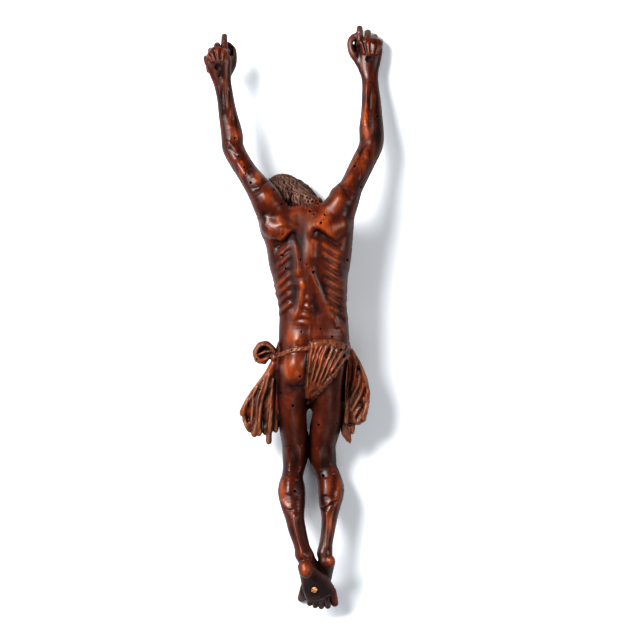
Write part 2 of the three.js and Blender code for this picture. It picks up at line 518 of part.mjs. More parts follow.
// ribs, broad and soft, which run down and out to the flanks
for (let i = 0; i < 7; i++) {
  const y = 51 - 7.2 * i;
  stroke(back, [[-2.4 - 0.2 * i, y + 3.4], [-5.8, y], [-10.4, y - 4.6], [-16.8, y - 9]], 1.2, 1.6, 0.35);
}
for (let i = 0; i < 8; i++) {
  const y = 51.6 - 6.6 * i, left = 18.4 + 0.7 * i;
  stroke(back, [[left, y + 3.4], [left + 5, y], [left + 11, y - 3.6], [left + 18, y - 8.6]], 1.2, 1.6, 0.25);
}
// sacrum and the rise of the buttocks
bump(back, 17.5, -14.6, 0.9, 4.4, 3.2);
bump(back, 0.4, -38, 1.9, 5, 6.6);
bump(back, 0, -20, 0.9, 4.6, 4.6);
bump(back, -8, -20, -0.9, 3.4, 7);
bump(back, -11, -38, -1, 2.6, 12);
// buttock: cleft and crease
stroke(back, [[11, -24], [10, -36], [9, -48], [8.6, -60]], -1.8, 1.5);
stroke(back, [[-8, -49.6], [-2, -52.6], [4, -52.6], [8.6, -49.6]], -1.1, 1.8, 0.25);
// thighs, hollows of the knees, calves and shins: [points, height, width]
const LEG_RELIEF = [
  [[[-5, -58], [-5, -74], [-4.6, -90]], 0.3, 3],
  [[[-6.4, -98], [-4.8, -107], [-4.2, -116]], 0.9, 1],
  [[[5.6, -96], [3.6, -107], [4.2, -118]], 0.7, 1.1],
  [[[-5.2, -120], [-5, -127], [-5.6, -134]], 0.7, 1.8],
  [[[1.4, -122], [1.4, -131], [-0.6, -138]], -0.5, 1.1],
  [[[-11, -136], [-8, -141], [-4.8, -143.6], [-2, -142.6]], 0.9, 0.5],
  [[[-11, -138.4], [-8, -143], [-4.6, -145.4], [-1.4, -144]], -0.9, 0.5],
  [[[-0.8, -146], [-0.4, -154], [1.6, -164], [4.2, -174], [5.8, -182]], 1.3, 1],
  [[[2.8, -150], [4, -160], [7, -171], [10.4, -180]], -0.8, 1.2],
  [[[18, -66], [18, -80], [18.6, -94]], 0.25, 2.6],
  [[[28.6, -70], [28.6, -84], [27.6, -98]], 0.25, 2.4],
  [[[15, -98], [17.4, -108], [19, -118]], 0.6, 1.2],
  [[[27, -98], [26.6, -108], [28.6, -117]], 0.6, 1.2],
  [[[21.4, -121], [21.7, -128], [21, -135]], 0.7, 1.6],
  [[[28.6, -118], [29.2, -124], [28.4, -131]], -0.6, 0.9],
  [[[18.6, -141.8], [22, -142.2], [26, -139.4], [32, -136]], 0.9, 0.5],
  [[[19, -143.8], [22.8, -144], [27, -141], [31.6, -138]], -0.9, 0.5],
  [[[22.6, -145], [24, -155], [23.6, -165], [24.4, -176]], 1.1, 1.1],
];
for (const [points, height, width] of LEG_RELIEF) crease(back, points, height, width);
bump(back, -0.6, -110, -1, 2.4, 6);
bump(back, 22, -109, -0.6, 2.6, 6);
// arms: deltoids, upper arms, elbows and the cords of the forearms: [points, height, width]
const ARM_RELIEF = [
  [[[-53.8, 180], [-52.9, 168], [-52.5, 150]], 0.9, 0.8],
  [[[-49, 173], [-47.4, 158], [-46.2, 146]], 0.8, 0.8],
  [[[-57, 173], [-55.6, 158], [-54.4, 144]], 0.6, 0.8],
  [[[-51.2, 174], [-50, 158], [-49.4, 144]], -0.7, 0.8],
  [[[-55.2, 174], [-54.2, 158], [-53, 144]], -0.6, 0.7],
  [[[-46.2, 144], [-44.6, 138], [-45, 132]], 0.8, 1.6],
  [[[-52, 131], [-48, 128], [-43, 121]], 0.8, 0.9],
  [[[-51, 126], [-46, 122.4], [-42, 117]], -0.7, 0.9],
  [[[-45, 117], [-40.6, 109.6], [-36, 103]], 0.9, 1.5],
  [[[-42.4, 121], [-36.6, 112.6], [-31.6, 102]], -0.9, 1],
  [[[-35, 110], [-30.4, 103.6], [-26, 99]], 1, 1.3],
  [[[-34, 96], [-28.4, 94.6], [-24, 98], [-20, 101.6]], -1.2, 1.2],
  [[[53.6, 180], [53.2, 166], [52.4, 152], [51.2, 142]], 1, 0.8],
  [[[58.6, 156], [59, 144], [59.4, 132]], 0.9, 1],
  [[[56.4, 174], [55.6, 154], [55.4, 136]], -0.8, 0.9],
  [[[61.6, 172], [62.4, 150]], 0.5, 0.9],
  [[[55, 132], [47, 118], [38.6, 102]], -1, 1],
  [[[49.6, 125], [44.6, 115], [39.6, 104]], 1.1, 1.3],
  [[[56, 124], [51, 113], [46.6, 101]], 0.9, 1.5],
  [[[25, 94.6], [31, 97], [36.4, 93.6], [40, 85]], -1.2, 1.2],
];
for (const [points, height, width] of ARM_RELIEF) crease(back, points, height, width, 0.3);
bump(back, -21.4, 90, 0.9, 4.2, 5.4);
bump(back, 31.6, 88, 0.9, 4, 5.4);
bump(back, 57.6, 132, 0.8, 2.2, 2.6);
// backs of the hands: cords to the knuckles
for (const [x0, x1] of [[-54.6, -53], [-57, -58.4], [-59.4, -62.6], [-61.4, -65.6]]) {
  stroke(back, [[x0, 189], [x1, 202 - 0.62 * Math.abs(x1 + 55)]], 1.1, 0.9);
}
for (const [x0, x1] of [[52, 48.8], [55, 54.2], [58, 59.6], [60.6, 64]]) {
  stroke(back, [[x0, 196.4], [x1, 209 - 0.3 * Math.abs(x1 - 50)]], 1.1, 0.9);
}
// pockets between the thumbs and the first fingers
stroke(back, [[-48.6, 194.6], [-47.8, 199], [-48.8, 202.4]], -2.2, 1.2);
stroke(back, [[46, 199], [44.4, 203.4], [44.6, 208.4]], -2, 1.2);

// Relief of the front
const front = newMap();
stroke(front, [[9, 62], [9.4, 50], [9.8, 38]], -1.8, 2.2);
for (const s of [-1, 1]) {
  const x = (d) => 9.8 + s * d;
  stroke(front, [[x(2), 41], [x(10), 40], [x(20), 44], [x(26), 52]], -1.5, 1.7);
  stroke(front, [[x(0), 34], [x(8), 27], [x(15), 16], [x(21), 4]], 1.8, 1.8);
  for (let i = 0; i < 5; i++) {
    stroke(front, [[x(11 + i), 33 - 6 * i], [x(18 + i * 0.5), 37 - 6 * i], [x(26), 42 - 6 * i]], 0.9, 1.3);
  }
  stroke(front, [[x(4), 72], [x(14), 75], [x(24), 78]], 1.6, 1.6);
}
bump(front, 12.4, -8, -2.4, 1.4, 1.6);
stroke(front, [[11, 26], [11.6, 10], [12.2, -4]], -1, 1.8);
for (const [x, y] of [[-1, -105], [20, -105]]) {
  bump(front, x, y, 1.4, 4, 4.4);
  stroke(front, [[x, y - 8], [x + 0.6, y - 24], [x + 1, y - 42]], 1, 1.6);
}

const upper = skin(body, 1), lower = skin(body, -1);
raise(body, upper, back, 1);
raise(body, lower, front, -1);

// Loincloth
const dressed = body.slice();
const upperSkin = skin(body, 1), lowerSkin = skin(body, -1);
// over the right buttock: folds that run from the hip down to the fork of the legs
const FOLDS_BACK = 9;
for (let i = 0; i < FOLDS_BACK; i++) {
  const t = i / (FOLDS_BACK - 1);
  const top = [mix(12.8, 38, t), -21 + 2.4 * Math.sin(Math.PI * t) - 2.6 * t];
  const low = [mix(8.8, 29, t ** 1.5), mix(-60, -44, t ** 2.2)];
  const bow = [mix(top[0], low[0], 0.56) - 1 - t, mix(top[1], low[1], 0.5) - 1.5 * t];
  join(dressed, laid(upperSkin, 0.4 + 0.2 * (i % 2), [[...top, 1.7], [...bow, 2.2], [...low, 1.7]]), 1.6);
}
join(dressed, laid(upperSkin, -1.4, [[15, -25, 4, 2.6], [19, -36, 7, 2.8], [15, -50, 5, 2.6]]), 1);
join(dressed, laid(upperSkin, -1.4, [[29, -23, 8, 2.6], [28, -33, 7, 2.8], [22, -45, 5, 2.6]]), 1);
// rolled upper edge
join(dressed, laid(upperSkin, -0.2,
  [[12.4, -20.6, 1.3], [20, -18.6, 1.3], [29, -18.8, 1.3], [39, -23.6, 1.5]]), 0.8);
// the lower hem
join(dressed, laid(upperSkin, 0.2, [[9.4, -65, 1.4], [13, -61, 1.5], [19, -54, 1.5], [24, -48, 1.5],
  [29, -41.4, 1.5], [34, -35.4, 1.6], [39, -30, 1.8]]), 1.6);
// cord of two strands from under the cloth to the knot on the left hip
for (const off of [-0.75, 0.75]) {
  join(dressed, laid(upperSkin, 0.2,
    [[13, -23.7 + off, 0.95], [5, -24.4 + off, 0.95], [-2.9, -25.7 + off, 0.95],
    [-9.4, -28.2 + off, 1], [-15.4, -30.2 + off, 1.1]]), 0.3);
}
// round the front, sagging from the knot to the right hip
const FOLDS_FRONT = 8;
for (let i = 0; i < FOLDS_FRONT; i++) {
  const t = i / (FOLDS_FRONT - 1);
  const sag = mix(-25, -64, t), wide = mix(1.7, 2.3, t);
  join(dressed, laid(lowerSkin, -0.3 - 0.6 * (i % 2),
    [[-13, mix(-27, -38, t), wide], [-2, mix(-26, sag, 0.75), wide + 0.3],
    [12, sag, wide + 0.5], [27, mix(-24, sag, 0.75), wide + 0.3], [38, mix(-23, -40, t), wide]]), 1);
}
join(dressed, ball([12, -46, 27], [21, 18, 9]), 3);
// wrapped round both hips
join(dressed, limb([[-11.6, -26, 36, 3, 8], [-11.8, -38, 35, 3.2, 9], [-11.4, -50, 33, 2.6, 8]]), 1.5);
join(dressed, limb([[38, -24, 36, 3.4, 8], [38.6, -34, 34, 3.4, 10], [37, -46, 32, 2.8, 9]]), 1.5);

// A hanging end of cloth: a fan of folds between two edges, each given as points [x, y, z].
function fan(edgeA, edgeB, count, radius, alternate) {
  for (let i = 0; i < count; i++) {
    const t = i / (count - 1);
    const fold = edgeA.map((a, s) => {
      const p = mixAll(a, edgeB[s], t);
      const r = radius[0] + (radius[1] - radius[0]) * (s / (edgeA.length - 1));
      return [p[0], p[1], p[2] + (i % 2 ? -1 : 1) * alternate * (s / (edgeA.length - 1)), r, r * 1.5];
    });
    join(dressed, limb(fold, 3), 1.6);
  }
}
// left: from the knot, spreading to a rounded hem with a narrow tail
fan([[-17.2, -36, 38], [-23.8, -47.4, 36], [-33.2, -60, 34.5], [-39, -71.4, 33]],
  [[-16, -36, 38], [-21, -52, 36], [-26.6, -70, 34.5], [-30.6, -87, 33]], 5, [1.8, 2.7], 1.3);
fan([[-16, -36, 37], [-20.6, -54, 35], [-25, -72, 34], [-27, -87, 33]],
  [[-14, -36, 36], [-14, -52, 34], [-14.2, -68, 33], [-14.8, -84.4, 32]], 4, [1.6, 2.1], 1.5);
join(dressed, limb([[-17, -38, 37, 2.4, 4], [-25, -60, 34.6, 8.4, 4.4], [-28.8, -74, 33.6, 11.2, 4.4],
  [-28, -83.6, 33, 9.2, 4]]), 1);
join(dressed, limb([[-18.4, -70, 33.4, 2, 3.4], [-19.6, -84, 32.6, 2.2, 3.2], [-20.1, -93.4, 32, 2.3, 3]]),
  0.6);
// bow and knot
join(dressed, limb([[-15, -27.4, 39, 2.2, 4], [-19.4, -22.6, 39.4, 2.1, 5], [-24.4, -21.4, 39, 2, 5.4],
  [-28.6, -24.8, 38.4, 2, 5.4],
  [-29.2, -29.8, 38, 2, 5.2], [-25.8, -33.2, 38, 2, 4.8], [-21.8, -31.8, 38.6, 1.9, 4.4]]), 0.7);
join(dressed, limb([[-16, -28, 38, 2.6, 4], [-22, -27, 36.6, 4.4, 4], [-26.6, -28.6, 36, 3.6, 3.6]]), 0.8);
join(dressed, limb([[-16, -26.4, 41, 1.2, 2], [-22, -26.6, 41, 1.2, 2.2], [-27.6, -29, 40, 1.1, 2]]), 0.5);
join(dressed, ball([-16, -31, 38.6], [3, 3.6, 4.2]), 0.8);
// right: a straight fold, a curved outer edge and slanting folds between them
fan([[40, -27, 36], [39.6, -44, 34], [38.6, -62, 31], [38, -78, 29]],
  [[42, -27.4, 37], [49, -40, 35], [53.8, -57, 32], [51, -76, 29]], 5, [1.8, 2.4], 1.2);
join(dressed, limb([[42, -32, 35, 3.4, 5], [45.6, -48, 33, 6.6, 5.4], [46.2, -62, 30.6, 8.2, 5],
  [45.6, -77.4, 28.6, 6, 4.4]]), 1);
join(dressed, limb([[39.6, -40, 33, 1.8, 3.4], [38.2, -60, 30.6, 2.2, 3.4], [37.6, -76, 28.6, 3, 3.2],
  [37.2, -86, 27.4, 3.1, 3],
  [39, -92, 27, 2, 2.4]]), 0.6);
join(dressed, limb([[43.4, -76, 28, 2, 3], [43, -86.6, 27, 1.4, 2.2]]), 0.6);
join(dressed, limb([[40.6, -84, 27.6, 1.4, 2.4], [40.8, -94, 26.6, 1, 1.8]]), 0.5);

// Folds of the cloth: crests with furrows between them
const folds = newMap();
const evenly = (points, count = 6) => {
  const path = curve(points, 8);
  return Array.from({ length: count }, (_, k) => path[Math.round((k * (path.length - 1)) / (count - 1))]);
};
const CRESTS = [
  // over the right buttock, from the cleft to the hip
  [[[13, -21], [11.5, -32], [10.5, -44]], [[17, -21], [13.5, -32], [11, -45], [9, -55]],
    [[20.5, -21], [15.5, -33], [12.5, -43], [9.4, -60]],
    [[25, -20], [20, -30], [18, -39], [12.4, -53]], [[29, -22], [25, -32], [21, -41], [15.4, -57]],
    [[33, -22], [27, -35], [21.5, -47], [16.6, -55]], [[36, -25], [31, -34], [25, -45], [20, -52]],
    [[39, -27], [34, -35], [29, -41]]],
  // the end that hangs at the right
  [[[38, -34], [37.6, -50], [37.6, -75]], [[42, -25], [45, -33], [46, -40], [43.5, -50], [41, -60]],
    [[44, -27], [48, -36], [49.5, -44], [47, -52], [42, -60], [40, -67]],
    [[52, -50], [49.5, -57], [45, -66], [41, -73]], [[55, -54], [52, -62], [47, -71], [43, -75]],
    [[54, -66], [50.4, -74], [45, -82]]],
  // the end that hangs at the left
  [[[-15.5, -45], [-18, -60], [-20.5, -88]], [[-19, -42], [-22, -52], [-26, -68], [-27.4, -86]],
    [[-21.4, -42], [-25, -54], [-28.5, -66], [-29, -88]],
    [[-24, -46], [-30, -54], [-32, -66], [-33, -84]],
    [[-28, -52], [-34, -60], [-38.4, -68], [-37.8, -78], [-35, -85]]],
];
for (const rows of CRESTS) {
  rows.forEach((row, i) => {
    stroke(folds, row, 0.8, 1, 0.1);
    const next = rows[i + 1] && evenly(rows[i + 1]);
    if (next) stroke(folds, evenly(row).map((p, k) => mixAll(p, next[k], 0.5)), -0.7, 0.8, 0.15);
  });
}
stroke(folds, [[-18, -52], [-22.6, -62], [-24, -74], [-24.4, -88]], -2.4, 1.4, 0.25);
bump(folds, -35.4, -76, -2.4, 1.3, 3);
raise(dressed, skin(dressed, 1), folds, 1);

// facets cut corners, so the form is made a little fuller
for (let n = 0; n < dressed.length; n++) dressed[n] -= FULLER;

// The arms are parted from the trunk on a plane square to each one
const JOINTS = {
  arm_left: { point: [-12.5, 80.5], normal: [-0.5, 0.866, 0], arm: leftArm },
  arm_right: { point: [27.5, 81.7], normal: [0.68, 0.733, 0], arm: rightArm },
};

// Skin a field with marching tetrahedra, which always closes.
const CUBE = [[0, 0, 0], [1, 0, 0], [0, 1, 0], [1, 1, 0], [0, 0, 1], [1, 0, 1], [0, 1, 1], [1, 1, 1]];
const TETS = [[0, 1, 3, 7], [0, 3, 2, 7], [0, 2, 6, 7], [0, 6, 4, 7], [0, 4, 5, 7], [0, 5, 1, 7]];
function skinField(field) {
  const points = [], faces = [];
  const made = new Map();
  const total = field.length;
  const vertex = (a, b) => {
    const key = a < b ? a * total + b : b * total + a;
    let id = made.get(key);
    if (id === undefined) {
      const va = field[a] || 1e-5, vb = field[b] || 1e-5;
      const t = clamp(va / (va - vb), 0.02, 0.98);
      const spot = (n) => [place(0, n % NX), place(1, Math.floor(n / NX) % NY),
        place(2, Math.floor(n / (NX * NY)))];
      const p = a < b ? mixAll(spot(a), spot(b), t) : mixAll(spot(b), spot(a), 1 - t);
      id = points.length / 3;
      points.push(...p);
      made.set(key, id);
    }
    return id;
  };
  const inside = (n) => (field[n] || 1e-5) < 0;
  const corner = CUBE.map(([i, j, k]) => (k * NY + j) * NX + i);
  for (let k = 0; k < NZ - 1; k++) {
    for (let j = 0; j < NY - 1; j++) {
      for (let i = 0; i < NX - 1; i++) {
        const base = (k * NY + j) * NX + i;
        const first = inside(base);
        if (corner.every((c) => inside(base + c) === first)) continue;
        for (const tet of TETS) {
          const n = tet.map((c) => base + corner[c]);
          const ins = n.filter(inside), outs = n.filter((m) => !inside(m));
          if (!ins.length || !outs.length) continue;
          // the tetrahedra all have one handedness, so the order of their corners gives the faces' winding
          const order = n.map(inside);
          if (ins.length === 1 || outs.length === 1) {
            const lone = ins.length === 1 ? order.indexOf(true) : order.indexOf(false);
            const others = [0, 1, 2, 3].filter((c) => c !== lone).map((c) => vertex(n[lone], n[c]));
            const flip = (lone % 2 === 0) !== (ins.length === 1);
            faces.push(...(flip ? [others[0], others[2], others[1]] : others));
          } else {
            const [a, b] = [0, 1, 2, 3].filter((c) => order[c]);
            const [c, d] = [0, 1, 2, 3].filter((e) => !order[e]);
            const quad = [vertex(n[a], n[c]), vertex(n[a], n[d]), vertex(n[b], n[d]), vertex(n[b], n[c])];
            const even = [a, b, c,
              d].reduce((sum, v, s, list) => sum + list.slice(s + 1).filter((w) => w < v).length,
              0) % 2 === 0;
            if (even) faces.push(quad[0], quad[1], quad[2], quad[0], quad[2], quad[3]);
            else faces.push(quad[0], quad[2], quad[1], quad[0], quad[3], quad[2]);
          }
        }
      }
    }
  }
  return largest(Float64Array.from(points), Int32Array.from(faces));
}

// Keep the largest connected piece.
function largest(points, faces) {
  const owner = new Int32Array(points.length / 3).map((_, i) => i);
  const find = (v) => { while (owner[v] !== v) v = owner[v] = owner[owner[v]]; return v; };
  for (let f = 0; f < faces.length; f += 3) {
    owner[find(faces[f])] = find(faces[f + 1]);
    owner[find(faces[f + 1])] = find(faces[f + 2]);
  }
  const sizes = new Map();
  for (let f = 0; f < faces.length; f += 3) {
    const root = find(faces[f]);
    sizes.set(root, (sizes.get(root) ?? 0) + 1);
  }
  const keep = [...sizes].sort((a, b) => b[1] - a[1])[0][0];
  const kept = [];
  for (let f = 0; f < faces.length; f += 3) {
    if (find(faces[f]) === keep) kept.push(faces[f], faces[f + 1], faces[f + 2]);
  }
  return { points, faces: Int32Array.from(kept) };
}

// Thin a closed mesh by folding its cheapest edges, which keeps it closed. Hands, feet and head stay finer.
const fineness = (x, y) => (y > 176 || y < -176 || (y > 76 && x > -20 && x < 22) ? 3 : 1);
function thin({ points, faces }, target) {
  const count = points.length / 3;
  const quadric = new Float64Array(count * 10);
  const around = Array.from({ length: count }, () => new Set());
  const corners = [];
  const normalOf = (a, b, c) => {
    const [ax, ay, az] = [points[3 * a], points[3 * a + 1], points[3 * a + 2]];
    const ux = points[3 * b] - ax, uy = points[3 * b + 1] - ay, uz = points[3 * b + 2] - az;
    const vx = points[3 * c] - ax, vy = points[3 * c + 1] - ay, vz = points[3 * c + 2] - az;
    return [uy * vz - uz * vy, uz * vx - ux * vz, ux * vy - uy * vx];
  };
  let alive = faces.length / 3;
  for (let f = 0; f < alive; f++) {
    const tri = [faces[3 * f], faces[3 * f + 1], faces[3 * f + 2]];
    corners.push(tri);
    const n = normalOf(...tri);
    const area = Math.hypot(...n) || 1e-12;
    const [a, b, c] = n.map((v) => v / area);
    const d = -(a * points[3 * tri[0]] + b * points[3 * tri[0] + 1] + c * points[3 * tri[0] + 2]);
    const w = area * fineness(points[3 * tri[0]], points[3 * tri[0] + 1]);
    const q = [a * a, a * b, a * c, a * d, b * b, b * c, b * d, c * c, c * d, d * d];
    for (const v of tri) {
      around[v].add(f);
      for (let i = 0; i < 10; i++) quadric[10 * v + i] += w * q[i];
    }
  }
  const costAt = (q, x, y,
    z) => q[0] * x * x + 2 * q[1] * x * y + 2 * q[2] * x * z + 2 * q[3] * x + q[4] * y * y
    + 2 * q[5] * y * z + 2 * q[6] * y + q[7] * z * z + 2 * q[8] * z + q[9];
  const q = new Float64Array(10);
  function plan(a, b) {
    for (let i = 0; i < 10; i++) q[i] = quadric[10 * a + i] + quadric[10 * b + i];
    const A = [points[3 * a], points[3 * a + 1], points[3 * a + 2]];
    const B = [points[3 * b], points[3 * b + 1], points[3 * b + 2]];
    const length = Math.hypot(A[0] - B[0], A[1] - B[1], A[2] - B[2]);
    const tries = [mixAll(A, B, 0.5), A, B];
    const det = q[0] * (q[4] * q[7] - q[5] * q[5]) - q[1] * (q[1] * q[7] - q[5] * q[2])
      + q[2] * (q[1] * q[5] - q[4] * q[2]);
    const size = q[0] + q[4] + q[7];
    if (Math.abs(det) > 1e-4 * size ** 3) {
      const best = [
        -(q[3] * (q[4] * q[7] - q[5] * q[5]) - q[1] * (q[6] * q[7] - q[5] * q[8]) + q[2] * (q[6] * q[5]
          - q[4] * q[8])) / det,
        -(q[0] * (q[6] * q[7] - q[8] * q[5]) - q[3] * (q[1] * q[7] - q[5] * q[2]) + q[2] * (q[1] * q[8]
          - q[6] * q[2])) / det,
        -(q[0] * (q[4] * q[8] - q[5] * q[6]) - q[1] * (q[1] * q[8] - q[6] * q[2]) + q[3] * (q[1] * q[5]
          - q[4] * q[2])) / det];
      if (Math.hypot(best[0] - tries[0][0], best[1] - tries[0][1],
        best[2] - tries[0][2]) < 1.5 * length) tries.unshift(best);
    }
    let chosen = tries[0], least = Infinity;
    for (const t of tries) {
      const cost = costAt(q, ...t);
      if (cost < least - 1e-9) { least = cost; chosen = t; }
    }
    return [Math.max(least, 0) + 2e-4 * length * length, chosen];
  }
  // a binary heap of edges, with stale entries passed over by their stamps
  const heap = [];
  const stamp = new Int32Array(count);
  const push = (entry) => {
    let i = heap.length;
    heap.push(entry);
    while (i > 0) {
      const up = (i - 1) >> 1;
      if (heap[up].cost <= entry.cost) break;
      heap[i] = heap[up];
      i = up;
    }
    heap[i] = entry;
  };
  const pop = () => {
    const top = heap[0], last = heap.pop();
    if (heap.length) {
      let i = 0;
      for (;;) {
        let down = 2 * i + 1;
        if (down >= heap.length) break;
        if (down + 1 < heap.length && heap[down + 1].cost < heap[down].cost) down++;
        if (heap[down].cost >= last.cost) break;
        heap[i] = heap[down];
        i = down;
      }
      heap[i] = last;
    }
    return top;
  };
  const offer = (a, b) => {
    const [cost, spot] = plan(a, b);
    push({ cost, spot, a, b, sa: stamp[a], sb: stamp[b] });
  };
  const ring = (v) => {
    const out = new Set();
    for (const f of around[v]) for (const w of corners[f]) if (w !== v) out.add(w);
    return out;
  };
  for (const [a, b, c] of corners) for (const [p, r] of [[a, b], [b, c], [c, a]]) if (p < r) offer(p, r);
  while (alive > target && heap.length) {
    const { a, b, spot, sa, sb } = pop();
    if (stamp[a] !== sa || stamp[b] !== sb || !around[a].size || !around[b].size) continue;
    const ringA = ring(a), ringB = ring(b);
    let shared = 0;
    for (const v of ringA) if (ringB.has(v)) shared++;
    if (shared !== 2 || ringA.size + ringB.size < 8) continue;
    let sound = true;
    for (const v of [a, b]) {
      for (const f of around[v]) {
        const tri = corners[f];
        if (tri.includes(a) && tri.includes(b)) continue;
        const before = normalOf(...tri);
        const old = [points[3 * v], points[3 * v + 1], points[3 * v + 2]];
        [points[3 * v], points[3 * v + 1], points[3 * v + 2]] = spot;
        const after = normalOf(...tri);
        [points[3 * v], points[3 * v + 1], points[3 * v + 2]] = old;
        const [lb, la] = [Math.hypot(...before), Math.hypot(...after)];
        const turn = before[0] * after[0] + before[1] * after[1] + before[2] * after[2];
        if (la < 1e-4 || turn < 0.25 * la * lb) { sound = false; break; }
      }
      if (!sound) break;
    }
    if (!sound) continue;
    [points[3 * a], points[3 * a + 1], points[3 * a + 2]] = spot;
    for (let i = 0; i < 10; i++) quadric[10 * a + i] += quadric[10 * b + i];
    for (const f of [...around[b]]) {
      const tri = corners[f];
      if (tri.includes(a)) {
        for (const v of tri) around[v].delete(f);
        corners[f] = null;
        alive--;
      } else {
        corners[f] = tri.map((v) => (v === b ? a : v));
        around[a].add(f);
      }
    }
    around[b].clear();
    stamp[a]++;
    stamp[b]++;
    for (const v of ring(a)) offer(a, v);
  }
  const id = new Map(), vertices = [], kept = [];
  for (const tri of corners) {
    if (!tri) continue;
    for (const v of tri) {
      if (!id.has(v)) {
        id.set(v, vertices.length / 3);
        vertices.push(points[3 * v], points[3 * v + 1], points[3 * v + 2]);
      }
      kept.push(id.get(v));
    }
  }
  return { points: vertices, faces: kept };
}

const solid = ({ points, faces }, scale = 1) => new wasm.Manifold(new wasm.Mesh({
  numProp: 3,
  vertProperties: Float32Array.from(points, (v) => v * scale),
  triVerts: Uint32Array.from(faces),
}));

const figureSolid = solid(thin(skinField(dressed), FACETS.figure), SCALE).trimByPlane([0, 0, 1],
  GROUND * SCALE);
const solids = { corpus: figureSolid };
for (const [name, joint] of Object.entries(JOINTS)) {
  const middle = (joint.point[0] * joint.normal[0] + joint.point[1] * joint.normal[1]) * SCALE;
  // a cutter that holds the arm alone, fatter than it by a given amount, and is cut off at the joint
  const cutter = (grown, from) => {
    const field = joint.arm.map((v) => v - grown);
    return solid(thin(skinField(field), FACETS.cutter), SCALE).trimByPlane(joint.normal, from);
  };
  const side = SHOULDER_JOINT_GAP / 2;
  solids[name] = figureSolid.intersect(cutter(2.2, middle + side));
  solids.corpus = solids.corpus.subtract(cutter(3, middle - side));
}
// offcuts are dropped, so that each piece is one body
for (const name of Object.keys(solids)) {
  solids[name] = solids[name].decompose().sort((a, b) => b.volume() - a.volume())[0];
}

// A straight bore or stub along z, between two heights
function post(x, y, low, high, radius, sides = HOLE_SIDES) {
  const geometry = new THREE.CylinderGeometry(radius, radius, high - low, sides, 1).rotateX(Math.PI / 2)
    .translate(x, y, (low + high) / 2);
  return fromGeometry(geometry);
}
function fromGeometry(geometry) {
  const position = geometry.getAttribute('position');
  const seen = new Map(), vertices = [];
  const ids = Array.from({ length: position.count }, (_, i) => {
    const p = [position.getX(i), position.getY(i), position.getZ(i)];
    const key = p.map((v) => Math.round(v * 1e4)).join();
    if (!seen.has(key)) { seen.set(key, vertices.length / 3); vertices.push(...p); }
    return seen.get(key);
  });
  const index = Array.from(geometry.index.array, (i) => ids[i]);
  const faces = [];
  for (let f = 0; f < index.length; f += 3) {
    const [a, b, c] = index.slice(f, f + 3);
    if (a !== b && b !== c && a !== c) faces.push(a, b, c);
  }
  return solid({ points: vertices, faces });
}

// Each hand's back has a flat seat against the cross, and a nail hole that leans as it was bored
for (const [name, hand] of [['arm_left', HANDS.left], ['arm_right', HANDS.right]]) {
  const seatHeight = (hand.palm + 4.1) * SCALE;
  solids[name] = solids[name].subtract(
    post(hand.seat[0] * SCALE, hand.seat[1] * SCALE, seatHeight, seatHeight + 20, HAND_SEAT_RADIUS));
  const [x, y, z] = [...hand.hole, hand.palm + 4].map((v) => v * SCALE);
  const into = new THREE.Vector3(hand.lean[0], hand.lean[1], -1).normalize();
  const bore = new THREE.CylinderGeometry(HAND_HOLE_RADIUS, HAND_HOLE_RADIUS, 70, HOLE_SIDES, 1)
    .applyQuaternion(new THREE.Quaternion().setFromUnitVectors(new THREE.Vector3(0, 1, 0), into))
    .translate(x, y, z);
  solids[name] = solids[name].subtract(fromGeometry(bore));
}

// Worm holes, at [x, y] on the back
const WORM_HOLES = {
  arm_left: [[-56, 178.6], [-42.1, 119.2], [-36.5, 105.8]],
  arm_right: [[57, 176], [48, 123.8], [61.6, 149.8]],
  corpus: [[-9.8, 83], [22.4, 74.8], [33.7, 52.8], [-9, 44.8], [4.4, 41.8], [13.4, 32.3], [5.2, -11.8],
    [19, -9.8],
    [20.9, -120.2]],
};
for (const [name, spots] of Object.entries(WORM_HOLES)) {
  for (const [x, y] of spots) {
    const [px, py, top] = [x, y, heightAt(upperSkin, x, y)].map((v) => v * SCALE);
    solids[name] = solids[name].subtract(post(px, py, top - WORM_HOLE_DEPTH, top + 4, WORM_HOLE_RADIUS,
      WORM_HOLE_SIDES));
  }
}

// The sole's nail hole and the stub in it
const NAIL = [14.1 * SCALE, -205.3 * SCALE];
const soleHeight = SCALE * (SOLE.point[2] - 0.3 + ((SOLE.point[1]
  + 205.3) * SOLE.normal[1]) / SOLE.normal[2]);
const holeFloor = soleHeight - SOLE_HOLE_DEPTH;
const soleSeat = new THREE.CylinderGeometry(SOLE_SEAT_RADIUS, SOLE_SEAT_RADIUS, 20, 24, 1)
  .applyQuaternion(new THREE.Quaternion().setFromUnitVectors(new THREE.Vector3(0, 1, 0),
    new THREE.Vector3(...SOLE.normal)))
  .translate(NAIL[0] + 10 * SOLE.normal[0], NAIL[1] + 10 * SOLE.normal[1],
    soleHeight + 10 * SOLE.normal[2]);
solids.corpus = solids.corpus.subtract(fromGeometry(soleSeat))
  .subtract(post(...NAIL, holeFloor, soleHeight + 20, SOLE_HOLE_RADIUS));
const pegRadius = SOLE_HOLE_RADIUS - PEG_CLEARANCE;
const solePlane = NAIL[1] * SOLE.normal[1] + soleHeight * SOLE.normal[2];
solids.foot_peg = post(...NAIL, holeFloor + PEG_FLOOR_GAP, soleHeight + 20, pegRadius)
  .trimByPlane(SOLE.normal.map((v) => -v), -(solePlane + PEG_STAND));

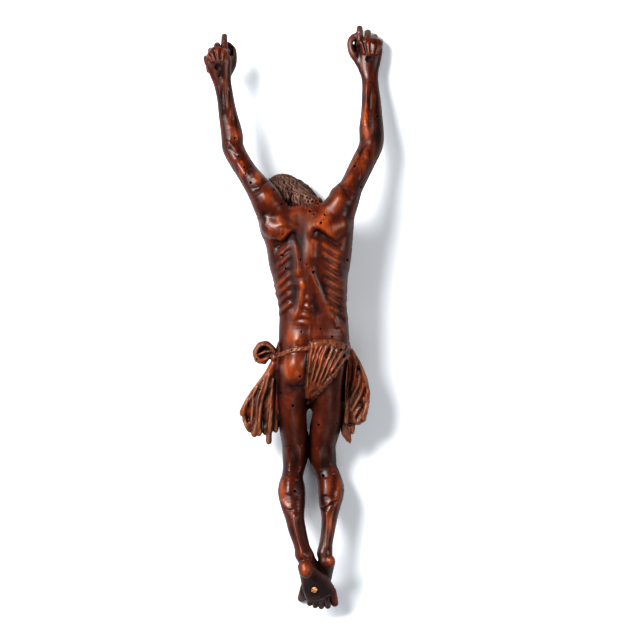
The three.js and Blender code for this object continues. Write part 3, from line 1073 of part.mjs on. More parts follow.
// Materials and the finished group, its box centred over the origin and standing on it
const varnish = { color: 0x5a2a18, roughness: 0.35, metalness: 0 };
const LOOKS = {
  corpus: varnish,
  arm_left: varnish,
  arm_right: varnish,
  foot_peg: { color: 0xd9bd8a, roughness: 0.85, metalness: 0 },
};
const figure = new THREE.Group();
figure.name = 'crucifix_corpus_figure';
for (const [name, body] of Object.entries(solids)) {
  const mesh = body.getMesh();
  const geometry = new THREE.BufferGeometry();
  geometry.setAttribute('position', new THREE.BufferAttribute(Float32Array.from(mesh.vertProperties),
    mesh.numProp));
  geometry.setIndex(Array.from(mesh.triVerts));
  geometry.computeVertexNormals();
  const node = new THREE.Mesh(geometry, new THREE.MeshStandardMaterial(LOOKS[name]));
  node.name = name;
  figure.add(node);
}
const box = new THREE.Box3().setFromObject(figure);
figure.position.set(-(box.min.x + box.max.x) / 2, -(box.min.y + box.max.y) / 2, -box.min.z);

export default figure;
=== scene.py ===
# A carved, varnished boxwood corpus figure lying face down, seen from straight above its back.
#
# The carving is written in carver's units (millimetres, +Z out of the back, +Y to the hands, +X to the
# viewer's right) as a distance field on a fine grid, and is then skinned, coloured and lit.
import copy
import itertools
import math

import bpy
import numpy as np
import openvdb
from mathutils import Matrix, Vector


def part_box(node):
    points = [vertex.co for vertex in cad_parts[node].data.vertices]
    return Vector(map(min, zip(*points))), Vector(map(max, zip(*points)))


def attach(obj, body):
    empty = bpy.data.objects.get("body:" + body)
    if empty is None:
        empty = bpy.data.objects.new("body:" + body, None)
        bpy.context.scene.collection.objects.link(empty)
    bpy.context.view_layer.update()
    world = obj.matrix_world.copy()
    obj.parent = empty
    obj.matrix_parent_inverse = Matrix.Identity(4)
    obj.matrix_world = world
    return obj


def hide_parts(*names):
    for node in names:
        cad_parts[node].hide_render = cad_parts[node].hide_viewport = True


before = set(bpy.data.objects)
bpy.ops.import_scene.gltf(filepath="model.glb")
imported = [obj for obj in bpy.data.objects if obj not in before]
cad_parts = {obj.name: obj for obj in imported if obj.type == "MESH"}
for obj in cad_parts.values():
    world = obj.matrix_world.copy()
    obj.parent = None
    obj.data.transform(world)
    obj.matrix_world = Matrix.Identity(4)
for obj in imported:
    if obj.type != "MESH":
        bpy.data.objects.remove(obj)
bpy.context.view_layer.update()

PITCH = 0.5  # of the carving grid
FAR = 8.0  # a distance that no blend reaches
GROUND = 0.35  # the lowest spots are worn flat at this height
NAIL = (14.1, -205.3)  # the hole in the left sole
PIXEL = 0.75  # millimetres to a pixel of the view, which is 640 pixels wide and high
ORIGIN_PIXEL = (295.5, 316)
VIEW = 640

# Where the carver's origin stands in the row frame, read from the stub in the sole
peg_low, peg_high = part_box("foot_peg")
SHIFT = ((peg_low.x + peg_high.x) * 500 - NAIL[0], (peg_low.y + peg_high.y) * 500 - NAIL[1], -GROUND)

# Small helpers
F = np.float32


def from_pixel(px, py):
    return (px - ORIGIN_PIXEL[0]) * PIXEL, (ORIGIN_PIXEL[1] - py) * PIXEL


def mix(a, b, t):
    return a + (b - a) * t


def mix_all(a, b, t):
    return [mix(u, v, t) for u, v in zip(a, b)]


def ease(lo, hi, v):
    t = np.clip((v - lo) / (hi - lo), 0, 1)
    return t * t * (3 - 2 * t)


def blend_min(a, b, k):
    if k <= 0:
        return np.minimum(a, b)
    h = np.maximum(k - np.abs(a - b), 0) / k
    return np.minimum(a, b) - h * h * k / 4


def curve(stations, parts=4):
    """A Catmull-Rom curve through stations of any width, cut into equal steps."""
    knots = [np.array(s, float) for s in (stations[0], *stations, stations[-1])]
    out = []
    for p, a, b, q in zip(knots, knots[1:], knots[2:], knots[3:]):
        for t in (s / parts for s in range(parts)):
            out.append(0.5 * (2 * a + (b - p) * t + (2 * p - 5 * a + 4 * b - q) * t * t
                              + (3 * a - p - 3 * b + q) * t ** 3))
    return [list(s) for s in (*out, stations[-1])]


class Run:
    """A tapered run between two stations [x, y, z, half width, half depth]."""

    def __init__(self, a, b):
        self.a, self.b = a, b
        reach = max(a[3], a[4], b[3], b[4])
        self.box = [(min(a[c], b[c]) - reach, max(a[c], b[c]) + reach) for c in range(3)]

    def distance(self, x, y, z):
        a, b = self.a, self.b
        d = [b[c] - a[c] for c in range(3)]
        long = sum(v * v for v in d) or 1e-9
        px, py, pz = x - F(a[0]), y - F(a[1]), z - F(a[2])
        t = np.clip(px * F(d[0] / long) + py * F(d[1] / long) + pz * F(d[2] / long), 0, 1)
        qx, qy, qz = px - t * F(d[0]), py - t * F(d[1]), pz - t * F(d[2])
        wide = F(a[3]) + F(b[3] - a[3]) * t
        whole = qx * qx + qy * qy + qz * qz
        if abs(a[3] - a[4]) + abs(b[3] - b[4]) < 1e-6:
            return np.sqrt(whole) - wide
        level = math.hypot(d[0], d[1])
        ux, uy = (d[1] / level, -d[0] / level) if level > 1e-6 else (1, 0)
        deep = F(a[4]) + F(b[4] - a[4]) * t
        across = (qx * F(ux) + qy * F(uy)) ** 2
        rest = np.maximum(whole - across, 0) / (deep * deep)
        across /= wide * wide
        k0 = np.sqrt(across + rest)
        k1 = np.sqrt(across / (wide * wide) + rest / (deep * deep))
        return np.where(k1 < 1e-6, -np.minimum(wide, deep), k0 * (k0 - 1) / np.maximum(k1, F(1e-6)))


def limb(stations, parts=4):
    """A smooth run through stations. A round one leaves out the half depth."""
    steps = curve([s if len(s) > 4 else [*s, s[3]] for s in stations], parts)
    steps = [[*s[:3], max(s[3], 0.3), max(s[4], 0.3)] for s in steps]
    return [Run(a, b) for a, b in zip(steps, steps[1:])]


WORLD = ((1, 0, 0), (0, 1, 0), (0, 0, 1))


class Ball:
    """An ellipsoid with its three half axes along unit directions."""

    def __init__(self, centre, radii, axes):
        self.centre, self.axes = centre, axes
        self.r = [radii] * 3 if isinstance(radii, (int, float)) else radii
        self.box = [(c - max(self.r), c + max(self.r)) for c in centre]

    def distance(self, x, y, z):
        p = (x - F(self.centre[0]), y - F(self.centre[1]), z - F(self.centre[2]))
        k0 = k1 = 0
        for axis, r in zip(self.axes, self.r):
            v = p[0] * F(axis[0] / r) + p[1] * F(axis[1] / r) + p[2] * F(axis[2] / r)
            k0 = k0 + v * v
            k1 = k1 + v * v / F(r * r)
        k0 = np.sqrt(k0)
        return k0 * (k0 - 1) / np.maximum(np.sqrt(k1), F(1e-6))


def ball(centre, radii, axes=WORLD):
    return [Ball(centre, radii, axes)]


# The carving grid
LOW, HIGH = (-76, -228, -6), (76, 226, 72)
COUNT = [math.ceil((HIGH[c] - LOW[c]) / PITCH) + 1 for c in range(3)]
AXES = [(LOW[c] + PITCH * np.arange(COUNT[c])).astype(F) for c in range(3)]


def axes_of(lo, hi):
    x, y, z = (AXES[c][lo[c]:hi[c]] for c in range(3))
    return x[:, None, None], y[None, :, None], z[None, None, :]


class Field:
    """A distance field on a box of the carving grid."""

    def __init__(self, box=tuple(zip(LOW, HIGH))):
        self.start = [max(0, math.floor((box[c][0] - LOW[c]) / PITCH)) for c in range(3)]
        self.end = [min(COUNT[c], math.ceil((box[c][1] - LOW[c]) / PITCH) + 1) for c in range(3)]
        self.v = np.full([hi - lo for lo, hi in zip(self.start, self.end)], FAR, F)

    def window(self, box, margin):
        """The grid lines from which and up to which the field holds a box and a margin round it."""
        lo = [max(self.start[c], math.ceil((box[c][0] - margin - LOW[c]) / PITCH)) for c in range(3)]
        hi = [min(self.end[c], math.floor((box[c][1] + margin - LOW[c]) / PITCH) + 1) for c in range(3)]
        return lo, [max(ends) for ends in zip(lo, hi)]

    def part(self, lo, hi):
        return self.v[tuple(slice(lo[c] - self.start[c], hi[c] - self.start[c]) for c in range(3))]

    def copy(self):
        twin = copy.copy(self)
        twin.v = self.v.copy()
        return twin


def nearest(field, form, margin):
    """The part of a field round a form, and the distance to the form there."""
    box = [(min(run.box[c][0] for run in form), max(run.box[c][1] for run in form)) for c in range(3)]
    lo, hi = field.window(box, margin)
    gap = np.full([h - l for l, h in zip(lo, hi)], FAR, F)
    for piece in form:
        a, b = field.window(piece.box, margin)
        target = gap[tuple(slice(a[c] - lo[c], b[c] - lo[c]) for c in range(3))]
        np.minimum(target, piece.distance(*axes_of(a, b)), out=target)
    return field.part(lo, hi), gap


def join(field, form, blend=0.0, reach=FAR):
    target, gap = nearest(field, form, reach)
    target[...] = blend_min(target, gap, blend)


def small(blend):
    """How far a small form with a blend still reaches."""
    return 3.2 + 1.3 * blend


def merge(into, other, k):
    lo = [max(ends) for ends in zip(into.start, other.start)]
    hi = [min(ends) for ends in zip(into.end, other.end)]
    target = into.part(lo, hi)
    target[...] = blend_min(target, other.part(lo, hi), k)


def engrave(field, path, height, width):
    """A groove or ridge along a path in space."""
    line = [Run([*p, 0, 0], [*q, 0, 0]) for p, q in zip(path, path[1:])]
    target, gap = nearest(field, line, 3 * width)
    target -= np.where(gap < 3 * width, F(height) * np.exp(-gap * gap / F(2 * width * width)), 0)


def bore(field, start, end, radius):
    """Takes a round bore between two points out of a field."""
    target, gap = nearest(field, [Run([*start, radius, radius], [*end, radius, radius])], 2)
    np.maximum(target, -gap, out=target)


def read(values, start, points):
    """A grid's values at points [x, y] or [x, y, z], between its lines."""
    axes = range(points.shape[1])
    g = [(points[:, c] - LOW[c]) / PITCH - start[c] for c in axes]
    i = [np.clip(np.floor(g[c]).astype(np.int32), 0, values.shape[c] - 2) for c in axes]
    t = [np.clip(g[c] - i[c], 0, 1).astype(F) for c in axes]
    total = 0
    for corner in itertools.product((0, 1), repeat=len(axes)):
        weight = math.prod(t[c] if far else 1 - t[c] for c, far in enumerate(corner))
        total = total + weight * values[tuple(i[c] + far for c, far in enumerate(corner))]
    return total


# Relief maps: heights over the figure's outline, for its upper or its lower side
RELIEF_DEPTH = 9.0  # a relief fades out this far under the skin
RELIEF_SKIN = 6.0  # and acts only so near to it
ROWS = 48  # taken at a time
SPREAD = 9.8  # how far a skin's height runs on past the outline


def new_map():
    return np.zeros(COUNT[:2], F)


def map_part(points, margin):
    """The part of a relief map round some points, and the places of its columns and rows."""
    spans = []
    for c, values in enumerate(zip(*points)):
        lo = max(0, math.ceil((min(values) - margin - LOW[c]) / PITCH))
        hi = min(COUNT[c], math.floor((max(values) + margin - LOW[c]) / PITCH) + 1)
        spans.append(slice(lo, hi))
    return tuple(spans), AXES[0][spans[0], None], AXES[1][None, spans[1]]


def stroke(relief, points, height, width, fade=0.15):
    """A ridge (height over 0) or a groove along a curve, which fades at its ends."""
    path = curve(points, 4) if len(points) > 2 else points
    part, x, y = map_part(path, 3.5 * width)
    best = np.full(relief[part].shape, 1e9, F)
    along = np.zeros_like(best)
    last = len(path) - 1
    for i, (a, b) in enumerate(zip(path, path[1:])):
        dx, dy = b[0] - a[0], b[1] - a[1]
        t = np.clip(((x - F(a[0])) * F(dx) + (y - F(a[1])) * F(dy)) / F(dx * dx + dy * dy or 1e-9), 0, 1)
        d = (x - F(a[0]) - t * F(dx)) ** 2 + (y - F(a[1]) - t * F(dy)) ** 2
        near = d < best
        best = np.where(near, d, best)
        along = np.where(near, (i + t) / last, along)
    ends = ease(0, fade, along) * ease(0, fade, 1 - along) if fade > 0 else 1
    relief[part] += F(height) * np.exp(-best / F(2 * width * width)) * ends


def crease(relief, points, height, width, fade=0.15):
    """A ridge or groove with a soft foot and a crisper line in its middle."""
    stroke(relief, points, 0.62 * height, 2 * width, fade)
    stroke(relief, points, 0.32 * height, 0.8 * width, fade)


def bump(relief, x0, y0, height, width, length=None):
    length = length or width
    part, x, y = map_part([(x0, y0)], 3.5 * max(width, length))
    off = ((x - F(x0)) / F(width)) ** 2 + ((y - F(y0)) / F(length)) ** 2
    relief[part] += F(height) * np.exp(-off / 2)


def skin(field, side):
    """The height of a field's upper (side 1) or lower (side -1) skin, spread a little past the outline."""
    v = field.v[:, :, ::-1] if side > 0 else field.v
    inside = v < 0
    first = inside.argmax(axis=2)
    found = inside.any(axis=2)
    at = np.take_along_axis(v, first[:, :, None], 2)[:, :, 0]
    above = np.take_along_axis(v, np.maximum(first - 1, 0)[:, :, None], 2)[:, :, 0]
    above = np.where(first > 0, above, FAR)
    k = COUNT[2] - 1 - first if side > 0 else first
    height = LOW[2] + k * PITCH + side * PITCH * (at / np.where(found, at - above, 1))
    height = np.where(found, height, 0).astype(F)
    for _ in range(round(SPREAD / PITCH)):
        total = np.zeros_like(height)
        count = np.zeros_like(height)
        for axis, step in ((0, 1), (0, -1), (1, 1), (1, -1)):
            total += np.roll(np.where(found, height, 0), step, axis)
            count += np.roll(found, step, axis)
        grown = ~found & (count > 0)
        height = np.where(grown, total / np.maximum(count, 1), height)
        found = found | grown
    return np.where(found, height, np.nan).astype(F)


def height_at(relief, x, y):
    return float(read(relief, (0, 0), np.array([[x, y]]))[0])


def laid(relief, lift, stations):
    """Stations [x, y, half width, half depth] laid on a skin, sunk or lifted by a distance along z."""
    return limb([[s[0], s[1], height_at(relief, s[0], s[1]) + lift, s[2], s[-1]]
                 for s in curve(stations, 3)], 1)


def raise_relief(field, heights, relief, side):
    """Lifts or cuts the skin of a field's upper or lower side by a relief map."""
    level = np.nan_to_num(heights, nan=side * 1e4)
    for j in range(0, COUNT[1], ROWS):
        rows = slice(j, j + ROWS)
        block = field.v[:, rows]
        below = side * (level[:, rows, None] - AXES[2][None, None, :])
        lift = relief[:, rows, None] * ease(RELIEF_DEPTH, RELIEF_DEPTH / 2, below)
        block -= np.where(np.abs(block) > RELIEF_SKIN, 0, lift)


# Trunk
trunk = Field([(-42, 62), (-86, 112), (-6, 72)])
join(trunk, limb([
    [7.8, 70, 44.5, 19, 12], [9.2, 62, 41.5, 27.5, 18], [10.2, 52, 40, 30, 20.5], [10.5, 41, 40, 29.8, 21],
    [11.3, 29, 41, 28, 19.4], [12.4, 17, 42.6, 26.2, 16.8], [13.1, 5, 43.8, 25, 14.4],
    [13.6, -8, 42.6, 26.1, 15], [13.6, -20, 40.6, 26.7, 16.6], [12.9, -34, 38.6, 25.6, 17.2],
    [12, -44, 37, 22.5, 16]]))
# broad back muscles, from each armpit down the flank
join(trunk, limb([[-20, 80, 47, 9.2, 8], [-19.8, 67, 43, 7, 11], [-16.8, 53, 40, 4.8, 11],
                  [-13.4, 40, 38.5, 4.8, 9]]), 5)
join(trunk, limb([[33.8, 80, 43, 10.2, 9], [34.8, 67, 42, 8.8, 11], [35.2, 54, 40, 6.8, 11],
                  [33.8, 40, 38.5, 5.8, 9]]), 5)
# shoulder blades
join(trunk, limb([[-19, 69, 53, 7.4, 5.5], [-11.6, 64.6, 55.6, 8.6, 6], [-4, 64.4, 57, 5, 4.6]]), 4)
join(trunk, limb([[33, 69, 51, 8, 6], [26, 66.5, 54.6, 8.4, 6], [18.5, 67, 56.5, 5, 4.8]]), 4)
# neck and the slopes from it to the shoulders
join(trunk, limb([[7, 68, 45, 11, 11], [4.5, 78, 37, 9.5, 10], [0, 85, 29, 10, 10]]), 4)
join(trunk, limb([[6, 74, 47, 9, 7], [16, 77, 48.5, 6.5, 6], [25, 78, 46, 7, 7]]), 4)
join(trunk, limb([[2, 73, 48, 8, 7], [-7, 75, 49, 6, 6], [-15, 76, 48, 7, 7]]), 4)
# chest and belly on the underside
join(trunk, ball([-6, 51, 27], [14.5, 12, 8]), 5)
join(trunk, ball([25, 51, 27], [14.5, 12, 8]), 5)
join(trunk, ball([12.5, -12, 34], [17, 17, 8.5]), 6)
# buttocks
join(trunk, ball([0.6, -36, 43.5], [12.6, 15.5, 14.6]), 5)
join(trunk, ball([24.5, -36, 42.5], [13.8, 15.5, 14.4]), 5)
join(trunk, limb([[10, -50, 30, 13, 10], [9.5, -61, 27, 8, 8]]), 4)

# Legs: knees forward, the shins rising to crossed ankles
LEG_BOX = [(-28, 56), (-228, -20), (-6, 66)]
left_leg, right_leg = Field(LEG_BOX), Field(LEG_BOX)
join(left_leg, limb([
    [0, -42, 38, 13.2, 16.5], [-2.2, -56, 35, 11.4, 14.5], [-2.4, -70, 30, 10.7, 13],
    [-1.8, -84, 24.6, 10.4, 12], [0, -96, 19.4, 10.2, 11], [-0.2, -105, 16.8, 9.6, 10.6],
    [-1.4, -114, 17.6, 8.2, 9.4], [-2.6, -122, 21, 8.2, 9.4], [-3, -131, 24, 10.3, 10.4],
    [-2.1, -140, 27, 9.5, 9.4], [-0.7, -150, 30.4, 7.4, 8], [1.3, -160, 33.6, 6.7, 7],
    [4.3, -170, 36.6, 6, 6.2], [6.2, -178, 38.6, 6, 6.2]]))
join(right_leg, limb([
    [24, -42, 37, 14, 16.5], [24.6, -56, 34, 12.4, 14.5], [24.4, -70, 29.4, 11.4, 13],
    [22.3, -84, 23.8, 11.4, 12], [20, -96, 18.4, 10.3, 11], [20.1, -105, 15.4, 10.3, 10.6],
    [22.2, -114.6, 15.4, 8.8, 9.4], [25.2, -122, 18, 9, 9.3], [26.8, -131, 20.6, 9.8, 10.2],
    [26.1, -140, 22.8, 8.3, 9.2], [25.6, -150, 24.6, 6.2, 7.6], [24.6, -160, 26.4, 5.2, 6.8],
    [22.9, -170, 28.4, 5, 6], [21.8, -178, 30.4, 5.9, 5.8]]))

# Left foot, crossed behind the right one, its sole a flat that leans towards the toes
SOLE = {"point": (10, -198, 41), "normal": (0, -0.7312, 0.6822)}
SOLE_SUNK = 0.22  # how far under that plane it is cut
FOOT_BOX = [(-20, 56), (-228, -160), (-6, 62)]
foot = Field(FOOT_BOX)
join(foot, limb([[7.8, -188, 41.4, 6, 6.3], [11.4, -194.4, 36, 8.2, 6.3], [14.9, -201, 29.4, 10.6, 5.8],
                 [18.2, -208.4, 22.6, 11.3, 4.8]]))
join(foot, limb([[6.6, -178, 37.4, 5.6, 6], [11.2, -187, 32.6, 6.2, 6], [17, -197, 25.8, 7, 5.6],
                 [22.6, -206, 19.8, 6.4, 5]]), 3)
sx, sy, sz = axes_of(foot.start, foot.end)
over_sole = sum((place - point) * normal for place, point, normal in zip((sx, sy, sz), *SOLE.values()))
foot.v = np.maximum(foot.v, over_sole + F(SOLE_SUNK)).astype(F)
join(foot, ball([7.8, -190.2, 42.6], [5, 5.5, 6.2]), 0.8)
# toes as [tip x, tip y, radius], from the great toe to the little one
LEFT_TOES = [[29.4, -216.4, 2.8], [24.2, -218.6, 2.3], [19.3, -219, 2.2], [14.8, -218.5, 2.1],
             [10.6, -216.5, 2.3]]
for i, (x, y, r) in enumerate(LEFT_TOES):
    root = [mix(x, 18, 0.18), y + (7.4 if i else 9.5), 21 if i else 22, r + 0.35]
    bend = [mix(x, root[0], 0.25), y + (2.6 if i else 3.4), 16.6, r + 0.1]
    join(foot, limb([root, bend, [x, y, 14.4, r]], 2), 0.5, small(1))
join(left_leg, ball([6.8, -179, 36.6], [6.4, 5.6, 5.6]), 3)

front_foot = Field(FOOT_BOX)
join(front_foot, limb([[23.4, -184.5, 31.6, 6.4, 5.4], [21.5, -192, 24.6, 6.5, 5],
                       [18.6, -201, 15.8, 7.6, 4.8], [14, -208, 9.4, 9, 4]]))
join(front_foot, ball([26.3, -183.6, 34], [3.5, 4, 4]), 0.8)
FRONT_TOES = [[4.2, -213.6, 2.9], [9, -213.8, 2.2], [13.2, -212.8, 2.1], [17, -211, 2], [20.4, -208.4, 2]]
for i, (x, y, r) in enumerate(FRONT_TOES):
    root = [mix(x, 13.5, 0.22 if i else 0.3), y + (7 if i else 9.4), 8.4 if i else 11, r + 0.4]
    join(front_foot, limb([root, mix_all(root, [x, y, 4, r], 0.6), [x, y, r - 0.4, r]], 2), 0.5, small(1))

merge(left_leg, foot, 2.5)
merge(right_leg, front_foot, 2.5)
merge(left_leg, right_leg, 0.8)
body = Field()
merge(body, trunk, 0)
merge(body, left_leg, 5)

# Arms
left_arm = Field([(-76, 6), (62, 226), (8, 72)])
join(left_arm, limb([
    [-14, 77, 46, 9, 10.5], [-21, 86.2, 47.4, 11.2, 11.4], [-28.2, 96.2, 44.6, 9.4, 10.4],
    [-35.8, 106.8, 41, 8, 9.4], [-42.4, 117.4, 37.4, 7.8, 9], [-46.7, 126, 34.8, 8.2, 8.8],
    [-47.5, 134, 34, 8.2, 8.6], [-48.8, 142, 34.2, 7.8, 8], [-50.8, 152, 35, 6.9, 7],
    [-52.6, 163, 36.2, 6.2, 6.2], [-54.6, 174, 37.6, 6.7, 5.6], [-56.4, 182, 38.6, 8, 5.2],
    [-57.8, 189.4, 39.5, 9.7, 5], [-57.4, 194, 39.5, 8.9, 4.8], [-56.6, 197, 39.2, 7.4, 4.6]]))
join(left_arm, limb([[-42, 112, 37, 5, 7], [-46.6, 119.4, 35, 4.6, 7], [-47.6, 126, 34.6, 5, 7]]), 2)
right_arm = Field([(6, 76), (60, 226), (-6, 72)])
join(right_arm, limb([
    [27, 75, 43, 9, 10.5], [35.4, 85, 43.4, 11, 11.8], [41.4, 96, 38.8, 9, 10.4], [46.8, 107, 34, 8.8, 9.5],
    [52.2, 118, 29, 8.8, 9], [56.2, 127, 25, 9, 8.8], [57.2, 134, 22.8, 9.3, 8.5], [57, 142, 20.6, 9.2, 8],
    [57.2, 152, 18, 8, 7], [56.9, 163, 15.6, 7.1, 6.2], [56.4, 174, 13.6, 6.3, 5.6],
    [55.8, 181, 12.2, 6.5, 5.4], [55.3, 188, 11.4, 7.8, 5.2], [56.2, 196, 10.9, 8.7, 5],
    [56.8, 203, 10.6, 9, 4.8], [57, 206.4, 10.4, 8.7, 4.5]]))
join(right_arm, ball([34.2, 92.6, 42.6], [7.4, 6.6, 8]), 3)


def finger(field, joints, r):
    """A knuckle, a bent middle joint and a tip, round in section."""
    join(field, limb([[*j, r * (1.08 - 0.08 * i)] for i, j in enumerate(joints)], 3), 0.5, small(1))


# left fist: the index reaches up, the others fold under the palm
finger(left_arm, [[-52.8, 197, 38.4], [-53.2, 203.8, 36], [-53.3, 209.6, 32]], 2.55)
for x, y, i in [(-58.6, 202.6, 0), (-63.4, 198.8, 1), (-66.7, 193, 2)]:
    finger(left_arm, [[mix(x, -57, 0.12), y - 3.6, 39.4], [x, y, 36.2], [x + 1, y - 3.4, 28.8],
                      [x + 1.8, y - 9, 30.5]], 2.5 - 0.06 * i)
join(left_arm, limb([[-51.4, 181, 36, 3.6], [-47.8, 188, 32.6, 3.4], [-47, 194, 31, 3.2],
                     [-47.6, 199.6, 30.2, 3], [-50.6, 203.2, 29.8, 2.5]]), 1.6)
join(left_arm, limb([[-51.4, 186, 34, 3.6, 5], [-50.2, 197, 33.4, 3.6, 4.4]]), 2)
join(left_arm, ball([-56.5, 189, 35], [8, 8, 5]), 2)
# right fist: three finger tips show above the knuckles
finger(right_arm, [[48.8, 206, 10.6], [48.4, 212, 9.6], [48.3, 217.4, 7.2]], 2.6)
finger(right_arm, [[53.8, 207, 11], [54.4, 211.6, 9.8], [54.6, 214.5, 6.2], [54.6, 209, 2.2]], 2.55)
finger(right_arm, [[58.6, 206, 10.8], [59.6, 209, 9.6], [60, 211, 5.6], [59.6, 205, 2.1]], 2.4)
finger(right_arm, [[62.6, 202.6, 10.4], [63.6, 206, 9.4], [64, 206.8, 5.4], [62.6, 200.6, 2.1]], 2.35)
join(right_arm, limb([[51.8, 185, 11, 3.4], [47.6, 193, 9.8, 3.6], [43.6, 199.4, 9, 3.8],
                      [41.9, 206.4, 8.4, 3.1], [43.4, 210.2, 8, 2.7], [46.2, 211.8, 8.4, 2.3]]), 1.6)
join(right_arm, limb([[48.6, 192, 8.6, 3.4, 3.6], [46.4, 200.4, 7.6, 3, 3]]), 1.5)
join(right_arm, limb([[46, 198, 6.6, 3, 2.4], [44.6, 203, 6, 2.8, 2.2], [45.4, 209.6, 6.2, 2.4, 2.2]]), 0.8)
join(right_arm, ball([55.6, 195, 6.6], [7.6, 7.6, 4]), 2)

# Head: fallen forward, its crown to the upper left, the brow on the ground
HEAD = np.array([-6, 87.5, 18.4])
HEAD_AXES = ((0.819, 0.574, 0), (-0.497, 0.709, -0.5), (0.287, -0.41, -0.866))  # side, up and front
SKULL, SKULL_UP = (16, 20.3, 19), 1.1


def on_head(s, u, f):
    """A place given along the head's three axes."""
    return [HEAD[c] + s * HEAD_AXES[0][c] + u * HEAD_AXES[1][c] + f * HEAD_AXES[2][c] for c in range(3)]


def at(s, u, f, r):
    """A round station on the head."""
    return [*on_head(s, u, f), r]


head = Field([(-40, 40), (44, 124), (-6, 62)])
join(head, ball(on_head(0, SKULL_UP, 0), SKULL, HEAD_AXES))
join(head, ball(on_head(0, -8.5, 4), [11.6, 18, 13.2], HEAD_AXES), 2.5)
# hair over the nape and down beside the face
join(head, limb([[-4, 89, 26, 12, 11], [4, 86.6, 33, 9.6, 9.4], [9.6, 83.6, 38.4, 8, 7.4]]), 3)
join(head, limb([[-8, 86, 30, 9, 8], [-7, 80, 36, 8, 7]]), 3)
for s in (-1, 1):
    join(head, limb([at(12 * s, 9, 6, 5), at(14.5 * s, -3, 5, 5), at(13.5 * s, -15, 3, 4.6),
                     at(11 * s, -25, 1, 3.8)]), 2)
    # cheek, brow, closed lid, nostril, moustache and one point of the forked beard
    join(head, ball(on_head(7.2 * s, -8.5, 11.6), 4.2), 2)
    join(head, limb([at(9.5 * s, 0.6, 12.8, 1.5), at(5 * s, 2.6, 15.6, 1.6), at(0, 1, 16.4, 1.7)], 3), 1)
    join(head, ball(on_head(4.8 * s, -2.8, 13), [3, 2.1, 2.6], HEAD_AXES), 0.6)
    join(head, ball(on_head(1.9 * s, -12.9, 17.4), [1.5, 1.4, 1.8], HEAD_AXES), 0.8)
    join(head, limb([at(0.6 * s, -15.6, 17.2, 1.3), at(4 * s, -17, 16, 1.5),
                     at(7.6 * s, -20.6, 12.5, 1.3)], 3), 0.8)
    join(head, limb([at(5 * s, -21, 11, 4.5), at(3.6 * s, -27, 12.4, 4),
                     at(2.6 * s, -31, 12.6, 2.4)], 3), 1.5)
join(head, limb([at(0, 0, 16.2, 1.5), at(0, -7, 18.6, 1.6), at(0, -12.4, 20.2, 2)], 3), 1.2)
join(head, limb([at(-3.4, -18.6, 15.8, 0.9), at(0, -18.1, 17.2, 1.1), at(3.4, -18.6, 15.8, 0.9)], 3), 0.6)
join(head, limb([at(-2.8, -20.4, 15.6, 0.9), at(0, -20.6, 16.8, 1.2), at(2.8, -20.4, 15.6, 0.9)], 3), 0.6)
join(head, ball(on_head(0, -24, 13), [5, 4, 4], HEAD_AXES), 1.5)
join(head, limb([[-3, 90.4, 33, 7.2, 6.5], [4, 87, 40, 7, 7], [11, 85, 43.6, 5.2, 5.4],
                 [16.6, 85.4, 43.4, 3.4, 3.6]]), 2)
join(head, limb([[-16, 99.6, 25, 4.6, 5], [-11.4, 93.6, 34, 5.4, 5.4], [-7.4, 88.4, 40.4, 5, 4.6]]), 2)
smooth_head = head.copy()

# Locks of hair stream from the crown, which lies towards the back of the head, and wave as they fall
LOCKS = 28
CROWN_BACK = 0.05


def head_angles(side, up, front):
    """Turn round the crown and fall from it, of a spot given along the head's three axes."""
    cs, u, f = side / SKULL[0], (up - SKULL_UP) / SKULL[1], front / SKULL[2]
    tilt_cos, tilt_sin = math.cos(CROWN_BACK), math.sin(CROWN_BACK)
    cu, cf = u * tilt_cos - f * tilt_sin, u * tilt_sin + f * tilt_cos
    size = np.sqrt(cs * cs + cu * cu + cf * cf) + 1e-6
    fall = np.arccos(np.clip(cu / size, -1, 1))
    turn = np.arctan2(cf, cs)
    wave = 0.1 * np.sin(fall * 5 + 2 * turn) + 0.055 * np.sin(fall * 17 + 2.5 * np.sin(3 * turn))
    return turn + wave, fall


def head_axes_of(x, y, z):
    """Where places lie along the head's three axes."""
    p = (x - HEAD[0], y - HEAD[1], z - HEAD[2])
    return [sum(p[c] * axis[c] for c in range(3)) for axis in HEAD_AXES]


def bare_face(side, up, front):
    """How much a spot of the head belongs to the face, where no hair grows."""
    edges = (front - 10.5, 9 - up, 11 - np.abs(side))
    return math.prod(np.clip(edge / 2, 0, 1) for edge in edges)


spots = head_axes_of(*axes_of(head.start, head.end))
turn, fall = head_angles(*spots)
fade = np.clip(np.sin(np.minimum(fall, 1.6)) * 1.6 - 0.15, 0, 1) * (1 - bare_face(*spots))
locks = 0.6 * np.abs(np.sin(LOCKS / 2 * turn + 0.7 * np.sin(fall * 3))) - 0.4
strands = 0.3 * np.cos(LOCKS * 3 * turn + 1.5 * np.sin(fall * 4))
head.v -= np.where(np.abs(head.v) < 4, fade * (locks + strands) * 1.25, 0).astype(F)
for s in (-1, 1):
    lid = [on_head(2.6 * s, -3, 15.4), on_head(4.8 * s, -3.9, 16), on_head(7.2 * s, -3.2, 14.6)]
    socket = [on_head(3.4 * s, 0, 15.6), on_head(6.4 * s, -0.3, 15)]
    engrave(head, curve(lid, 2), -0.6, 0.6)
    engrave(head, curve(socket, 2), -1, 1.2)

# The whole body: the arms and the head grow from the trunk, and the head stays clear of the arms
with_head = trunk.copy()
merge(with_head, head, 3)
merge(body, left_arm, 6)
merge(body, right_arm, 6)
merge(body, with_head, 0)
merge(body, head, 0)

